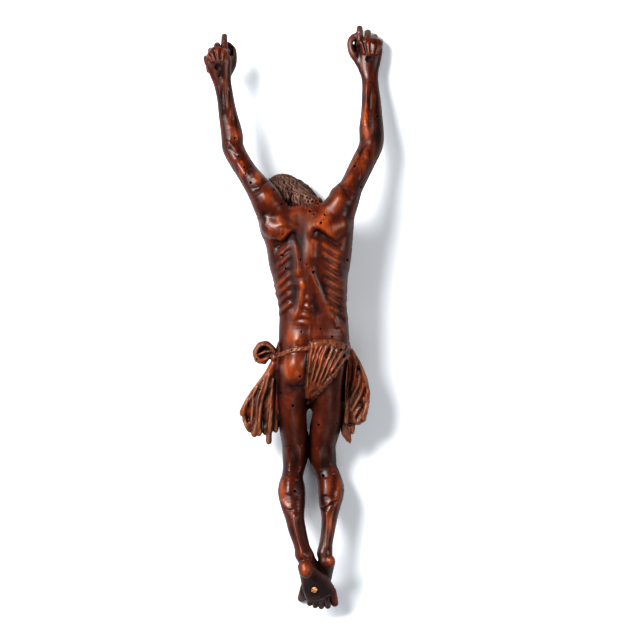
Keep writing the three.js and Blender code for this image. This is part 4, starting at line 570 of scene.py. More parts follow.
# Relief of the back, read from the nape down
back = new_map()
BACK_STROKES = [
    # hollows under the shoulder blades and the edges over them
    ([[-17, 51], [-12, 52.4], [-7.6, 55.6], [-4, 60], [-1.4, 61.6], [1, 60], [2.8, 54],
      [3.8, 46]], -1.3, 1.3, 0.2),
    ([[-13, 55], [-9.6, 57.4], [-6.4, 61.4], [-3, 65]], 1.3, 1.5, 0.25),
    ([[11, 54], [12.6, 59.6], [15.8, 63], [20, 61.4], [25.6, 56.8], [31, 53.2],
      [35, 52.6]], -1.3, 1.3, 0.2),
    ([[13.4, 63.4], [16.6, 66.6], [21.6, 64.6], [27.6, 59.8], [33, 56.6]], 1.3, 1.5, 0.25),
    # cords from the neck to the blades
    ([[11.2, 61], [12.4, 67], [14, 74], [16, 79]], 0.8, 1.1, 0.25),
    ([[15.4, 67], [18.4, 71], [22.4, 76]], 0.9, 1.2, 0.25),
    ([[-12.6, 76], [-10.6, 71], [-9, 66]], 0.9, 1.4, 0.25),
    ([[-2.6, 66], [-2, 71], [-3, 78]], 0.6, 1.8, 0.25), ([[-16, 72], [-20, 64], [-21, 56]], 0.5, 3, 0.3),
    ([[2, 66], [2.6, 71], [1.4, 77]], -0.5, 1.5, 0.25),
    # spine: a shallow furrow, the edges of the long muscles on both sides
    ([[6.6, 74], [6.2, 64], [5.6, 56], [5.4, 46], [5.8, 36], [6.8, 28], [7.6, 22]], -0.6, 1.3, 0.25),
    ([[9.6, 66], [9.4, 54], [9.2, 42], [9.6, 32]], 0.4, 1.8, 0.3),
    ([[-0.8, 57], [0.6, 50], [1.8, 42], [2.2, 35], [2, 29]], 1.1, 1, 0.2),
    ([[5.4, 29], [5.2, 20], [3.6, 11], [1.4, 3], [-2, -5]], 1.1, 1.1, 0.2),
    ([[8, 22], [7, 12], [5.4, 3]], -0.8, 1.5, 0.2), ([[2.4, 24], [0.4, 12], [-2.4, 3]], -0.6, 1.6, 0.25),
    ([[15.4, 58], [13.6, 53], [13, 47], [13.4, 41]], 1, 1.4, 0.2),
    ([[13.2, 38], [12.4, 33], [13.8, 27.6], [17, 20], [20.6, 11], [24.8, 3], [29, -3]], 0.8, 0.9, 0.12),
    ([[17, 50], [16.4, 42], [16.6, 33], [18.6, 25], [22.4, 15], [27, 6]], -0.6, 1.8, 0.2),
    ([[14.6, 18], [16.6, 8], [20, 0]], -0.7, 1.6, 0.2),
    # folds of skin on the right flank
    ([[29.6, 8], [31.4, 1], [34.4, -7], [36.4, -15]], 0.8, 0.6, 0.2),
    ([[27, 4], [29.4, -3], [32, -10]], 0.6, 0.7, 0.2), ([[32.6, 8], [34, 1], [36.4, -6]], -0.7, 0.6, 0.2),
]
for points, height, width, fade in BACK_STROKES:
    crease(back, points, height, width, fade)
# vertebrae
for x, y, height, width in [(10.2, 19, 0.4, 1.8), (9.4, 13.4, 0.8, 1.8), (9.4, 7, 0.9, 2.2),
                            (8, 0.6, 0.9, 3), (6.6, -4.8, 0.8, 4), (12.8, 4, 0.5, 1), (13, -1.6, 0.5, 1)]:
    bump(back, x, y, height, width, 1.2)
# the crisp lips of the blades
stroke(back, [[-16, 50.6], [-11.4, 52.2], [-7.2, 55.6], [-3.8, 60], [-1, 61.4], [1, 59.6],
              [2.4, 54]], -0.45, 0.6, 0.2)
stroke(back, [[12.6, 59.6], [15.8, 63], [20, 61.2], [26, 56.4], [31, 53]], -0.45, 0.6, 0.2)
stroke(back, [[12.2, 33.6], [13.6, 28], [16.8, 20.6]], 0.5, 0.6, 0.25)
stroke(back, [[1.6, 43], [2.2, 36], [2.2, 30]], 0.4, 0.6, 0.25)
bump(back, 14, 3, -0.7, 2, 9)
stroke(back, [[10.9, -6], [10.8, -13], [11, -21]], 0.35, 0.5)
# ribs, broad and soft, which run down and out to the flanks
for i in range(7):
    y = 51 - 7.2 * i
    stroke(back, [[-2.4 - 0.2 * i, y + 3.4], [-5.8, y], [-10.4, y - 4.6], [-16.8, y - 9]],
           0.85 + 0.25 * math.sin(2.4 * i), 1.5, 0.35)
    stroke(back, [[-3, y - 0.6], [-7.4, y - 4.6], [-12.6, y - 8.8]], -0.5, 1.2, 0.3)
for i in range(8):
    y, left = 51.6 - 6.6 * i, 18.4 + 0.7 * i
    stroke(back, [[left, y + 3.4], [left + 5, y], [left + 11, y - 3.6], [left + 18, y - 8.6]],
           1 + 0.25 * math.sin(1.7 * i + 1), 1.6, 0.25)
    stroke(back, [[left + 1.6, y - 1], [left + 6.4, y - 4], [left + 13, y - 8.2]], -0.5, 1.1, 0.3)
# sacrum and the rise of the buttocks
bump(back, 1, -18, 1.2, 4.4, 4)
bump(back, 17.5, -14.6, 0.9, 4.4, 3.2)
bump(back, 0.4, -38, 1.9, 5, 6.6)
bump(back, 0, -20, 0.9, 4.6, 4.6)
bump(back, -8, -20, -0.9, 3.4, 7)
bump(back, -11, -38, -1, 2.6, 12)
# buttock: cleft and crease
stroke(back, [[11, -24], [10, -36], [9, -48], [8.6, -60]], -1.8, 1.3)
stroke(back, [[-8, -49.6], [-2, -52.6], [4, -52.6], [8.6, -49.6]], -1.1, 1.8, 0.25)
# thighs, hollows of the knees, calves and shins
LEG_STROKES = [
    ([[-5, -58], [-5, -74], [-4.6, -90]], 0.3, 3), ([[-6.4, -98], [-4.8, -107], [-4.2, -116]], 0.9, 1),
    ([[5.6, -96], [3.6, -107], [4.2, -118]], 0.7, 1.1),
    ([[-5.2, -120], [-5, -127], [-5.6, -134]], 0.7, 1.8),
    ([[1.4, -122], [1.4, -131], [-0.6, -138]], -0.5, 1.1),
    ([[-11, -136], [-8, -141], [-4.8, -143.6], [-2, -142.6]], 0.9, 0.5),
    ([[-11, -138.4], [-8, -143], [-4.6, -145.4], [-1.4, -144]], -0.9, 0.5),
    ([[-0.8, -146], [-0.4, -154], [1.6, -164], [4.2, -174], [5.8, -182]], 1.3, 1),
    ([[2.8, -150], [4, -160], [7, -171], [10.4, -180]], -0.8, 1.2),
    ([[18, -66], [18, -80], [18.6, -94]], 0.25, 2.6), ([[28.6, -70], [28.6, -84], [27.6, -98]], 0.25, 2.4),
    ([[15, -98], [17.4, -108], [19, -118]], 0.6, 1.2), ([[27, -98], [26.6, -108], [28.6, -117]], 0.6, 1.2),
    ([[21.4, -121], [21.7, -128], [21, -135]], 0.7, 1.6),
    ([[28.6, -118], [29.2, -124], [28.4, -131]], -0.6, 0.9),
    ([[18.6, -141.8], [22, -142.2], [26, -139.4], [32, -136]], 0.9, 0.5),
    ([[19, -143.8], [22.8, -144], [27, -141], [31.6, -138]], -0.9, 0.5),
    ([[22.6, -145], [24, -155], [23.6, -165], [24.4, -176]], 1.1, 1.1)]
for points, height, width in LEG_STROKES:
    crease(back, points, height, width)
bump(back, -0.6, -110, -1, 2.4, 6)
bump(back, 22, -109, -0.6, 2.6, 6)
# arms: deltoids, the two heads of the upper arm, elbows and the cords of the forearms
ARM_STROKES = [
    ([[-53.8, 180], [-52.9, 168], [-52.5, 150]], 0.9, 0.8),
    ([[-49, 173], [-47.4, 158], [-46.2, 146]], 0.8, 0.8),
    ([[-57, 173], [-55.6, 158], [-54.4, 144]], 0.6, 0.8),
    ([[-51.2, 174], [-50, 158], [-49.4, 144]], -0.7, 0.8),
    ([[-55.2, 174], [-54.2, 158], [-53, 144]], -0.6, 0.7),
    ([[-46.2, 144], [-44.6, 138], [-45, 132]], 0.8, 1.6), ([[-52, 131], [-48, 128], [-43, 121]], 0.8, 0.9),
    ([[-51, 126], [-46, 122.4], [-42, 117]], -0.7, 0.9),
    ([[-45, 117], [-40.6, 109.6], [-36, 103]], 0.9, 1.5),
    ([[-42.4, 121], [-36.6, 112.6], [-31.6, 102]], -0.9, 1),
    ([[-35, 110], [-30.4, 103.6], [-26, 99]], 1, 1.3),
    ([[-34, 96], [-28.4, 94.6], [-24, 98], [-20, 101.6]], -1.2, 1.2),
    ([[53.6, 180], [53.2, 166], [52.4, 152], [51.2, 142]], 1, 0.8),
    ([[58.6, 156], [59, 144], [59.4, 132]], 0.9, 1), ([[56.4, 174], [55.6, 154], [55.4, 136]], -0.8, 0.9),
    ([[61.6, 172], [62.4, 150]], 0.5, 0.9), ([[55, 132], [47, 118], [38.6, 102]], -1, 1),
    ([[49.6, 125], [44.6, 115], [39.6, 104]], 1.1, 1.3), ([[56, 124], [51, 113], [46.6, 101]], 0.9, 1.5),
    ([[25, 94.6], [31, 97], [36.4, 93.6], [40, 85]], -1.2, 1.2)]
for points, height, width in ARM_STROKES:
    crease(back, points, height, width, 0.3)
for x, y, height, width, length in [(-21.4, 90, 0.9, 4.2, 5.4), (31.6, 88, 0.9, 4, 5.4),
                                    (57.6, 132, 0.8, 2.2, 2.6)]:
    bump(back, x, y, height, width, length)
# over the nape a row of rounded ends, short locks under it, and rings of hair behind the ear
for k in range(8):
    x, y = -7 + 2.2 * k, 92.8 - 0.3 * k - 0.04 * k * k
    stroke(back, [[x - 1.1, y - 1.2], [x - 0.7, y + 0.3], [x + 0.6, y + 0.4], [x + 1, y - 1]], 0.6, 0.5, 0)
    bump(back, x, y - 1, -0.6, 0.5, 0.6)
for k in range(9):
    x = -5.6 + 1.7 * k
    wave = [[x + 0.45 * math.sin(1.7 * k + 1.5 * j), 91 - 0.25 * k - 2.3 * j] for j in range(5)]
    stroke(back, wave, 0.5, 0.5, 0.1)
    stroke(back, [[px + 0.85, py] for px, py in wave], -0.4, 0.42, 0.1)
for x, y, r in [(5.6, 89.4, 1.1), (8.8, 88.4, 1.2), (9.8, 85.2, 1.2), (13, 85.4, 1.6), (16.2, 86.2, 1.1),
                (16.9, 83.4, 1)]:
    ring = [[x + r * math.cos(a), y + r * math.sin(a)] for a in (0, 1.1, 2.1, 3.1, 4.2, 5.3, 6.283)]
    stroke(back, ring, 0.7, 0.45, 0)
    bump(back, x, y, -0.9, 0.5)
# pockets between the thumbs and the first fingers
stroke(back, [[-48.6, 194.6], [-47.8, 199], [-48.8, 202.4]], -2.2, 1)
stroke(back, [[46, 199], [44.4, 203.4], [44.6, 208.4]], -2, 1)
stroke(back, [[-54.4, 205], [-52, 204.6]], -0.5, 0.5, 0)
stroke(back, [[46.4, 213.6], [50, 213.2]], -0.5, 0.5, 0)
# backs of the hands: cords to the knuckles
for x0, x1 in [(-54.6, -53), (-57, -58.4), (-59.4, -62.6), (-61.4, -65.6)]:
    stroke(back, [[x0, 189], [x1, 202 - 0.62 * abs(x1 + 55)]], 0.8, 0.8)
    stroke(back, [[x0 - 1.2, 191], [x1 - 1.8, 200.6 - 0.62 * abs(x1 + 55)]], -0.4, 0.45)
    stroke(back, [[x0 - 0.2, 190], [x1 - 1, 200.6 - 0.62 * abs(x1 + 55)]], 0.35, 0.4)
for x0, x1 in [(52, 48.8), (55, 54.2), (58, 59.6), (60.6, 64)]:
    stroke(back, [[x0, 196.4], [x1, 209 - 0.3 * abs(x1 - 50)]], 0.8, 0.8)
    stroke(back, [[x0 + 1.4, 198], [x1 + 2.1, 208 - 0.3 * abs(x1 - 50)]], -0.4, 0.45)
    stroke(back, [[x0 + 0.3, 197], [x1 + 1.1, 208 - 0.3 * abs(x1 - 50)]], 0.35, 0.4)

# Relief of the front
front = new_map()
stroke(front, [[9, 62], [9.4, 50], [9.8, 38]], -1.8, 2.2)


def chest_stroke(points, height, width):
    """The same stroke on both sides of the chest, from points [way out from its middle, y]."""
    for side in (-1, 1):
        stroke(front, [[9.8 + side * out, y] for out, y in points], height, width)


chest_stroke([[2, 41], [10, 40], [20, 44], [26, 52]], -1.5, 1.7)
chest_stroke([[0, 34], [8, 27], [15, 16], [21, 4]], 1.8, 1.8)
chest_stroke([[4, 72], [14, 75], [24, 78]], 1.6, 1.6)
for i in range(5):
    chest_stroke([[11 + i, 33 - 6 * i], [18 + i * 0.5, 37 - 6 * i], [26, 42 - 6 * i]], 0.9, 1.3)
bump(front, 12.4, -8, -2.4, 1.4, 1.6)
stroke(front, [[11, 26], [11.6, 10], [12.2, -4]], -1, 1.8)
for x, y in [(-1, -105), (20, -105)]:
    bump(front, x, y, 1.4, 4, 4.4)
    stroke(front, [[x, y - 8], [x + 0.6, y - 24], [x + 1, y - 42]], 1, 1.6)

raise_relief(body, skin(body, 1), back, 1)
raise_relief(body, skin(body, -1), front, -1)

# Loincloth
dressed = body.copy()
upper, lower = skin(body, 1), skin(body, -1)
FOLDS_BACK = 9
for i in range(FOLDS_BACK):
    t = i / (FOLDS_BACK - 1)
    top = [mix(12.8, 38, t), -21 + 2.4 * math.sin(math.pi * t) - 2.6 * t]
    low = [mix(8.8, 29, t ** 1.5), mix(-60, -44, t ** 2.2)]
    bow = [mix(top[0], low[0], 0.56) - 1 - t, mix(top[1], low[1], 0.5) - 1.5 * t]
    join(dressed, laid(upper, 0.4 + 0.2 * (i % 2),
                       [[*top, 1.7], [*bow, 2.2], [*low, 1.7]]), 1.6, small(1.6))
join(dressed, laid(upper, -1.4, [[15, -25, 4, 2.6], [19, -36, 7, 2.8], [15, -50, 5, 2.6]]), 1, small(1))
join(dressed, laid(upper, -1.4, [[29, -23, 8, 2.6], [28, -33, 7, 2.8], [22, -45, 5, 2.6]]), 1, small(1))
join(dressed, laid(upper, -0.2, [[12.4, -20.6, 1.3], [20, -18.6, 1.3], [29, -18.8, 1.3], [39, -23.6, 1.5]]),
     0.8, small(0.8))
# the lower hem
join(dressed, laid(upper, 0.2, [[9.4, -65, 1.4], [13, -61, 1.5], [19, -54, 1.5], [24, -48, 1.5],
                                [29, -41.4, 1.5], [34, -35.4, 1.6], [39, -30, 1.8]]), 1.6, small(1.6))
for off in (-0.75, 0.75):
    join(dressed, laid(upper, 0.2, [[13, -23.7 + off, 0.95], [5, -24.4 + off, 0.95],
                                    [-2.9, -25.7 + off, 0.95], [-9.4, -28.2 + off, 1],
                                    [-15.4, -30.2 + off, 1.1]]), 0.3, small(0.3))
# round the front, sagging from the knot to the right hip
FOLDS_FRONT = 8
for i in range(FOLDS_FRONT):
    t = i / (FOLDS_FRONT - 1)
    sag, wide = mix(-25, -64, t), mix(1.7, 2.3, t)
    join(dressed, laid(lower, -0.3 - 0.6 * (i % 2), [
        [-13, mix(-27, -38, t), wide], [-2, mix(-26, sag, 0.75), wide + 0.3], [12, sag, wide + 0.5],
        [27, mix(-24, sag, 0.75), wide + 0.3], [38, mix(-23, -40, t), wide]]), 1, small(1))
join(dressed, ball([12, -46, 27], [21, 18, 9]), 3)
# wrapped round both hips
join(dressed, limb([[-11.6, -26, 36, 3, 8], [-11.8, -38, 35, 3.2, 9], [-11.4, -50, 33, 2.6, 8]]), 1.5)
join(dressed, limb([[38, -24, 36, 3.4, 8], [38.6, -34, 34, 3.4, 10], [37, -46, 32, 2.8, 9]]), 1.5)


def fan(edge_a, edge_b, count, radius, alternate):
    """A hanging end of cloth: a fan of folds between two edges, each given as points [x, y, z]."""
    for i in range(count):
        t = i / (count - 1)
        fold = []
        for s, a in enumerate(edge_a):
            p, down = mix_all(a, edge_b[s], t), s / (len(edge_a) - 1)
            r = mix(radius[0], radius[1], down)
            fold.append([p[0], p[1], p[2] + (-1 if i % 2 else 1) * alternate * down, r, r * 1.5])
        join(dressed, limb(fold, 3), 1.6, small(1.6))


# left: from the knot, spreading to a rounded hem with a narrow tail
fan([[-17.2, -36, 38], [-23.8, -47.4, 36], [-33.2, -60, 34.5], [-39, -71.4, 33]],
    [[-16, -36, 38], [-21, -52, 36], [-26.6, -70, 34.5], [-30.6, -87, 33]], 5, [1.8, 2.7], 1)
fan([[-16, -36, 37], [-20.6, -54, 35], [-25, -72, 34], [-27, -87, 33]],
    [[-14, -36, 36], [-14, -52, 34], [-14.2, -68, 33], [-14.8, -84.4, 32]], 4, [1.6, 2.1], 1.5)
join(dressed, limb([[-17, -38, 37, 2.4, 4], [-25, -60, 34.6, 8.4, 4.4], [-28.8, -74, 33.6, 11.2, 4.4],
                    [-28, -83.6, 33, 9.2, 4]]), 1)
join(dressed, limb([[-18.4, -70, 33.4, 2, 3.4], [-19.6, -84, 32.6, 2.2, 3.2],
                    [-20.1, -93.4, 32, 2.3, 3]]), 0.6)
# bow and knot
join(dressed, limb([[-15, -27.4, 39, 2.2, 4], [-19.4, -22.6, 39.4, 2.1, 5], [-24.4, -21.4, 39, 2, 5.4],
                    [-28.6, -24.8, 38.4, 2, 5.4], [-29.2, -29.8, 38, 2, 5.2], [-25.8, -33.2, 38, 2, 4.8],
                    [-21.8, -31.8, 38.6, 1.9, 4.4]]), 0.7)
join(dressed, limb([[-16, -28, 38, 2.6, 4], [-22, -27, 36.6, 4.4, 4], [-26.6, -28.6, 36, 3.6, 3.6]]), 0.8)
join(dressed, limb([[-16, -26.4, 41, 1.2, 2], [-22, -26.6, 41, 1.2, 2.2], [-27.6, -29, 40, 1.1, 2]]), 0.5)
join(dressed, ball([-16, -31, 38.6], [3, 3.6, 4.2]), 0.8)
# right: a straight fold, a curved outer edge and slanting folds between them
fan([[40, -27, 36], [39.6, -44, 34], [38.6, -62, 31], [38, -78, 29]],
    [[42, -27.4, 37], [49, -40, 35], [53.8, -57, 32], [51, -76, 29]], 5, [1.8, 2.4], 1.2)
join(dressed, limb([[42, -32, 35, 3.4, 5], [45.6, -48, 33, 6.6, 5.4], [46.2, -62, 30.6, 8.2, 5],
                    [45.6, -77.4, 28.6, 6, 4.4]]), 1)
join(dressed, limb([[39.6, -40, 33, 1.8, 3.4], [38.2, -60, 30.6, 2.2, 3.4], [37.6, -76, 28.6, 3, 3.2],
                    [37.2, -86, 27.4, 3.1, 3], [39, -92, 27, 2, 2.4]]), 0.6)
join(dressed, limb([[43.4, -76, 28, 2, 3], [43, -86.6, 27, 1.4, 2.2]]), 0.6)
join(dressed, limb([[40.6, -84, 27.6, 1.4, 2.4], [40.8, -94, 26.6, 1, 1.8]]), 0.5)

# Folds of the cloth: crests with narrow furrows between them
folds = new_map()


def evenly(points, count=6):
    path = curve(points, 8)
    return [path[round(k * (len(path) - 1) / (count - 1))] for k in range(count)]


CRESTS = [
    # over the right buttock, from the cleft to the hip
    [[[13, -21], [11.5, -32], [10.5, -44]], [[17, -21], [13.5, -32], [11, -45], [9, -55]],
     [[20.5, -21], [15.5, -33], [12.5, -43], [9.4, -60]], [[25, -20], [20, -30], [18, -39], [12.4, -53]],
     [[29, -22], [25, -32], [21, -41], [15.4, -57]], [[33, -22], [27, -35], [21.5, -47], [16.6, -55]],
     [[36, -25], [31, -34], [25, -45], [20, -52]], [[39, -27], [34, -35], [29, -41]]],
    # the end that hangs at the right
    [[[38, -34], [37.6, -50], [37.6, -75]], [[42, -25], [45, -33], [46, -40], [43.5, -50], [41, -60]],
     [[44, -27], [48, -36], [49.5, -44], [47, -52], [42, -60], [40, -67]],
     [[52, -50], [49.5, -57], [45, -66], [41, -73]], [[55, -54], [52, -62], [47, -71], [43, -75]],
     [[54, -66], [50.4, -74], [45, -82]]],
    # the end that hangs at the left
    [[[-15.5, -45], [-18, -60], [-20.5, -88]], [[-19, -42], [-22, -52], [-26, -68], [-27.4, -86]],
     [[-21.4, -42], [-25, -54], [-28.5, -66], [-29, -88]], [[-24, -46], [-30, -54], [-32, -66], [-33, -84]],
     [[-28, -52], [-34, -60], [-38.4, -68], [-37.8, -78], [-35, -85]]],
]
for rows, furrow in zip(CRESTS, (-1.15, -0.8, -0.8)):
    for i, row in enumerate(rows):
        stroke(folds, row, 0.85 + 0.25 * math.sin(2.3 * i + 1), 0.95, 0.15)
    for i, (a, b) in enumerate(zip(rows, rows[1:])):
        for t, height, width in ((0.22, -0.45, 0.4), (0.5, furrow, 0.6), (0.8, -0.35, 0.4)):
            between = [mix_all(p, q, t + 0.1 * math.sin(1.9 * i + 1.3 * k))
                       for k, (p, q) in enumerate(zip(evenly(a), evenly(b)))]
            stroke(folds, between, height, width, 0.2)
stroke(folds, [[-18, -52], [-22.6, -62], [-24, -74], [-24.4, -88]], -2.4, 1.3, 0.25)
stroke(folds, [[47, -37], [45.6, -47]], -1.6, 0.8)
stroke(folds, [[38, -31], [36, -50], [35, -65]], -2.2, 0.8)
bump(folds, -35.4, -76, -3.2, 1.1, 3)
bump(folds, 49.5, -66, -2, 0.9, 1.6)
# crumpled in between: short, uneven creases that run with the folds
top, wood_top = skin(dressed, 1), skin(body, 1)
folded = np.isnan(wood_top) | (top - wood_top > 0.6)
x, y = AXES[0][:, None], AXES[1][None, :]
wander = 1.6 * np.sin(0.19 * y + 0.11 * x) + 1.1 * np.sin(0.43 * y - 0.27 * x + 1.3)
run = np.where(x > 22, 1.9 * x + 0.5 * y, np.where(x > 0, 1.5 * x - 0.75 * y, 1.8 * x - 0.7 * y))
crumple = np.sin(run + wander) * (0.55 + 0.45 * np.sin(0.6 * y + 0.35 * x + wander))
crumple = crumple + 0.5 * np.sin(2.1 * run - 1.7 * wander) * np.sin(0.9 * y - 0.5 * x)
folds += np.where(folded & (y < -14) & (y > -98), 0.17 * crumple, 0).astype(F)
raise_relief(dressed, top, folds, 1)

# Holes: nails through the hands and the sole, and worm holes
HAND_HOLE, SOLE_HOLE, SOLE_DEPTH = 2.2, 2.7, 9
HANDS = [  # [x, y] of the hole, its lean along x and y for each millimetre down, and the palm's height
    ((-58, 185.8), (0.24, -0.4), 39.5), ((55.2, 193.4), (0, -0.36), 11),
]
unbored = dressed.copy()
# the gap left between the right thumb and the first finger
bore(dressed, [43.8, 206.1, -4], [43.8, 206.1, 20], 0.7)
for (x, y), (lx, ly), palm in HANDS:
    bore(dressed, [x - lx * 30, y - ly * 30, palm + 34], [x + lx * 34, y + ly * 34, palm - 30], HAND_HOLE)
sole_height = SOLE["point"][2] - 0.3 + (SOLE["point"][1] - NAIL[1]) * SOLE["normal"][1] / SOLE["normal"][2]
bore(dressed, [*NAIL, sole_height - SOLE_DEPTH], [*NAIL, sole_height + SOLE_DEPTH], SOLE_HOLE)
WORM_PIXELS = [
    (235, 139), (239, 157), (245, 168), (246.5, 175), (251, 184), (220, 77.6), (371, 81), (377, 116),
    (359, 151), (354.5, 167), (360, 188), (274, 191), (282, 205), (283, 235), (283, 256), (281, 256),
    (286, 269), (301, 260), (307, 265), (313, 273), (319, 256), (310, 212), (314, 215), (325, 216),
    (321, 224), (340, 245.5), (347, 260), (302, 331.5), (320.5, 329), (332, 337), (345.5, 346),
    (341, 349.5), (326, 354), (300, 376), (260, 390), (281, 393), (293, 405), (336, 423), (319, 425),
    (292, 350), (257, 359), (323, 476), (297.5, 476), (294.5, 491), (343, 491), (332, 545)]
worm_top = skin(dressed, 1)
for i, pixel in enumerate(WORM_PIXELS):
    x, y = from_pixel(*pixel)
    top = height_at(worm_top, x, y)
    if math.isnan(top):
        continue
    lean = (0.25 * math.sin(i * 2.1), 0.25 * math.cos(i * 1.3))
    bore(dressed, [x - lean[0] * 3, y - lean[1] * 3, top + 3], [x + lean[0] * 3, y + lean[1] * 3, top - 3],
         0.62 + 0.2 * math.sin(i * 3.7))
# worn flat where it lies on the ground
dressed.v = np.maximum(dressed.v, F(GROUND) - AXES[2][None, None, :])


# Pieces: the arms are parted from the trunk on a plane square to each one
OVERLAP = 1.0  # how far an arm runs on inside the trunk
GROWN = 3.0  # how far round its limb an arm takes what was carved
SUNK = 0.12  # how much thinner the hidden run is
JOINTS = {
    "arm_left": ((-12.5, 80.5), (-0.5, 0.866), left_arm),
    "arm_right": ((27.5, 81.7), (0.68, 0.733), right_arm),
}


def past_joint(field, point, normal):
    x, y, _ = axes_of(field.start, field.end)
    return (x - F(point[0])) * F(normal[0]) + (y - F(point[1])) * F(normal[1])


fields = {"corpus": dressed.copy()}
for name, (point, normal, arm) in JOINTS.items():
    beyond = past_joint(arm, point, normal)
    piece = arm.copy()
    inner = np.where(beyond < 0, F(SUNK), F(0))
    piece.v = np.maximum(dressed.part(arm.start, arm.end) + inner, arm.v - F(GROWN))
    piece.v = np.maximum(piece.v, -beyond - F(OVERLAP))
    fields[name] = piece
    target = fields["corpus"].part(arm.start, arm.end)
    np.maximum(target, -np.maximum(arm.v - F(GROWN), -beyond), out=target)


def sample(field, points):
    return read(field.v, field.start, points)


def blurred(field, spread):
    """The field smoothed over a spread in millimetres, from which the bend of its skin is read."""
    reach = math.ceil(2.2 * spread / PITCH)
    weights = [math.exp(-0.5 * (k * PITCH / spread) ** 2) for k in range(reach + 1)]
    total = weights[0] + 2 * sum(weights[1:])
    out = field.copy()
    out.v = np.clip(out.v, -3, 3)
    for axis in range(3):
        v = np.moveaxis(out.v, axis, 0)
        soft = v * F(weights[0] / total)
        for k in range(1, reach + 1):
            w = F(weights[k] / total)
            soft[k:] += w * v[:-k]
            soft[:-k] += w * v[k:]
            soft[:k] += w * v[:1]
            soft[-k:] += w * v[-1:]
        out.v = np.moveaxis(soft, 0, axis)
    return out


def mesh_of(name, field):
    """Skins a field, keeps its largest body and returns an object in metres in the row frame."""
    grid = openvdb.FloatGrid(background=FAR)
    grid.copyFromArray(np.ascontiguousarray(field.v))
    points, _, quads = grid.convertToPolygons(isovalue=0.0, adaptivity=0.0)
    points = points.astype(np.float64) * PITCH + [LOW[c] + field.start[c] * PITCH for c in range(3)]
    faces = np.concatenate([quads[:, [0, 1, 2]], quads[:, [0, 2, 3]]])
    owner = np.arange(len(points))
    while True:
        lowest = np.minimum.reduce([owner[faces[:, c]] for c in range(3)])
        before = owner.copy()
        for c in range(3):
            np.minimum.at(owner, faces[:, c], lowest)
        owner = owner[owner]
        if (owner == before).all():
            break
    labels, counts = np.unique(owner[faces[:, 0]], return_counts=True)
    faces = faces[owner[faces[:, 0]] == labels[counts.argmax()]]
    used, faces = np.unique(faces, return_inverse=True)
    points = points[used]
    mesh = bpy.data.meshes.new(name + "_carved")
    mesh.vertices.add(len(points))
    mesh.vertices.foreach_set("co", ((points + np.array(SHIFT)) / 1000).astype(F).ravel())
    mesh.loops.add(faces.size)
    mesh.loops.foreach_set("vertex_index", faces.reshape(-1).astype(np.int32))
    mesh.polygons.add(faces.size // 3)
    mesh.polygons.foreach_set("loop_start", np.arange(0, faces.size, 3, dtype=np.int32))
    mesh.update(calc_edges=True)
    mesh.validate()
    obj = bpy.data.objects.new(name + "_carved", mesh)
    bpy.context.scene.collection.objects.link(obj)
    return obj


def thin(obj, most):
    """Takes a mesh down to a number of triangles."""
    count = len(obj.data.polygons)
    if count > most:
        modifier = obj.modifiers.new("thin", "DECIMATE")
        modifier.ratio = most / count
        bpy.context.view_layer.update()
        evaluated = obj.evaluated_get(bpy.context.evaluated_depsgraph_get())
        mesh = bpy.data.meshes.new_from_object(evaluated)
        obj.modifiers.clear()
        obj.data = mesh
    obj.data.shade_smooth()


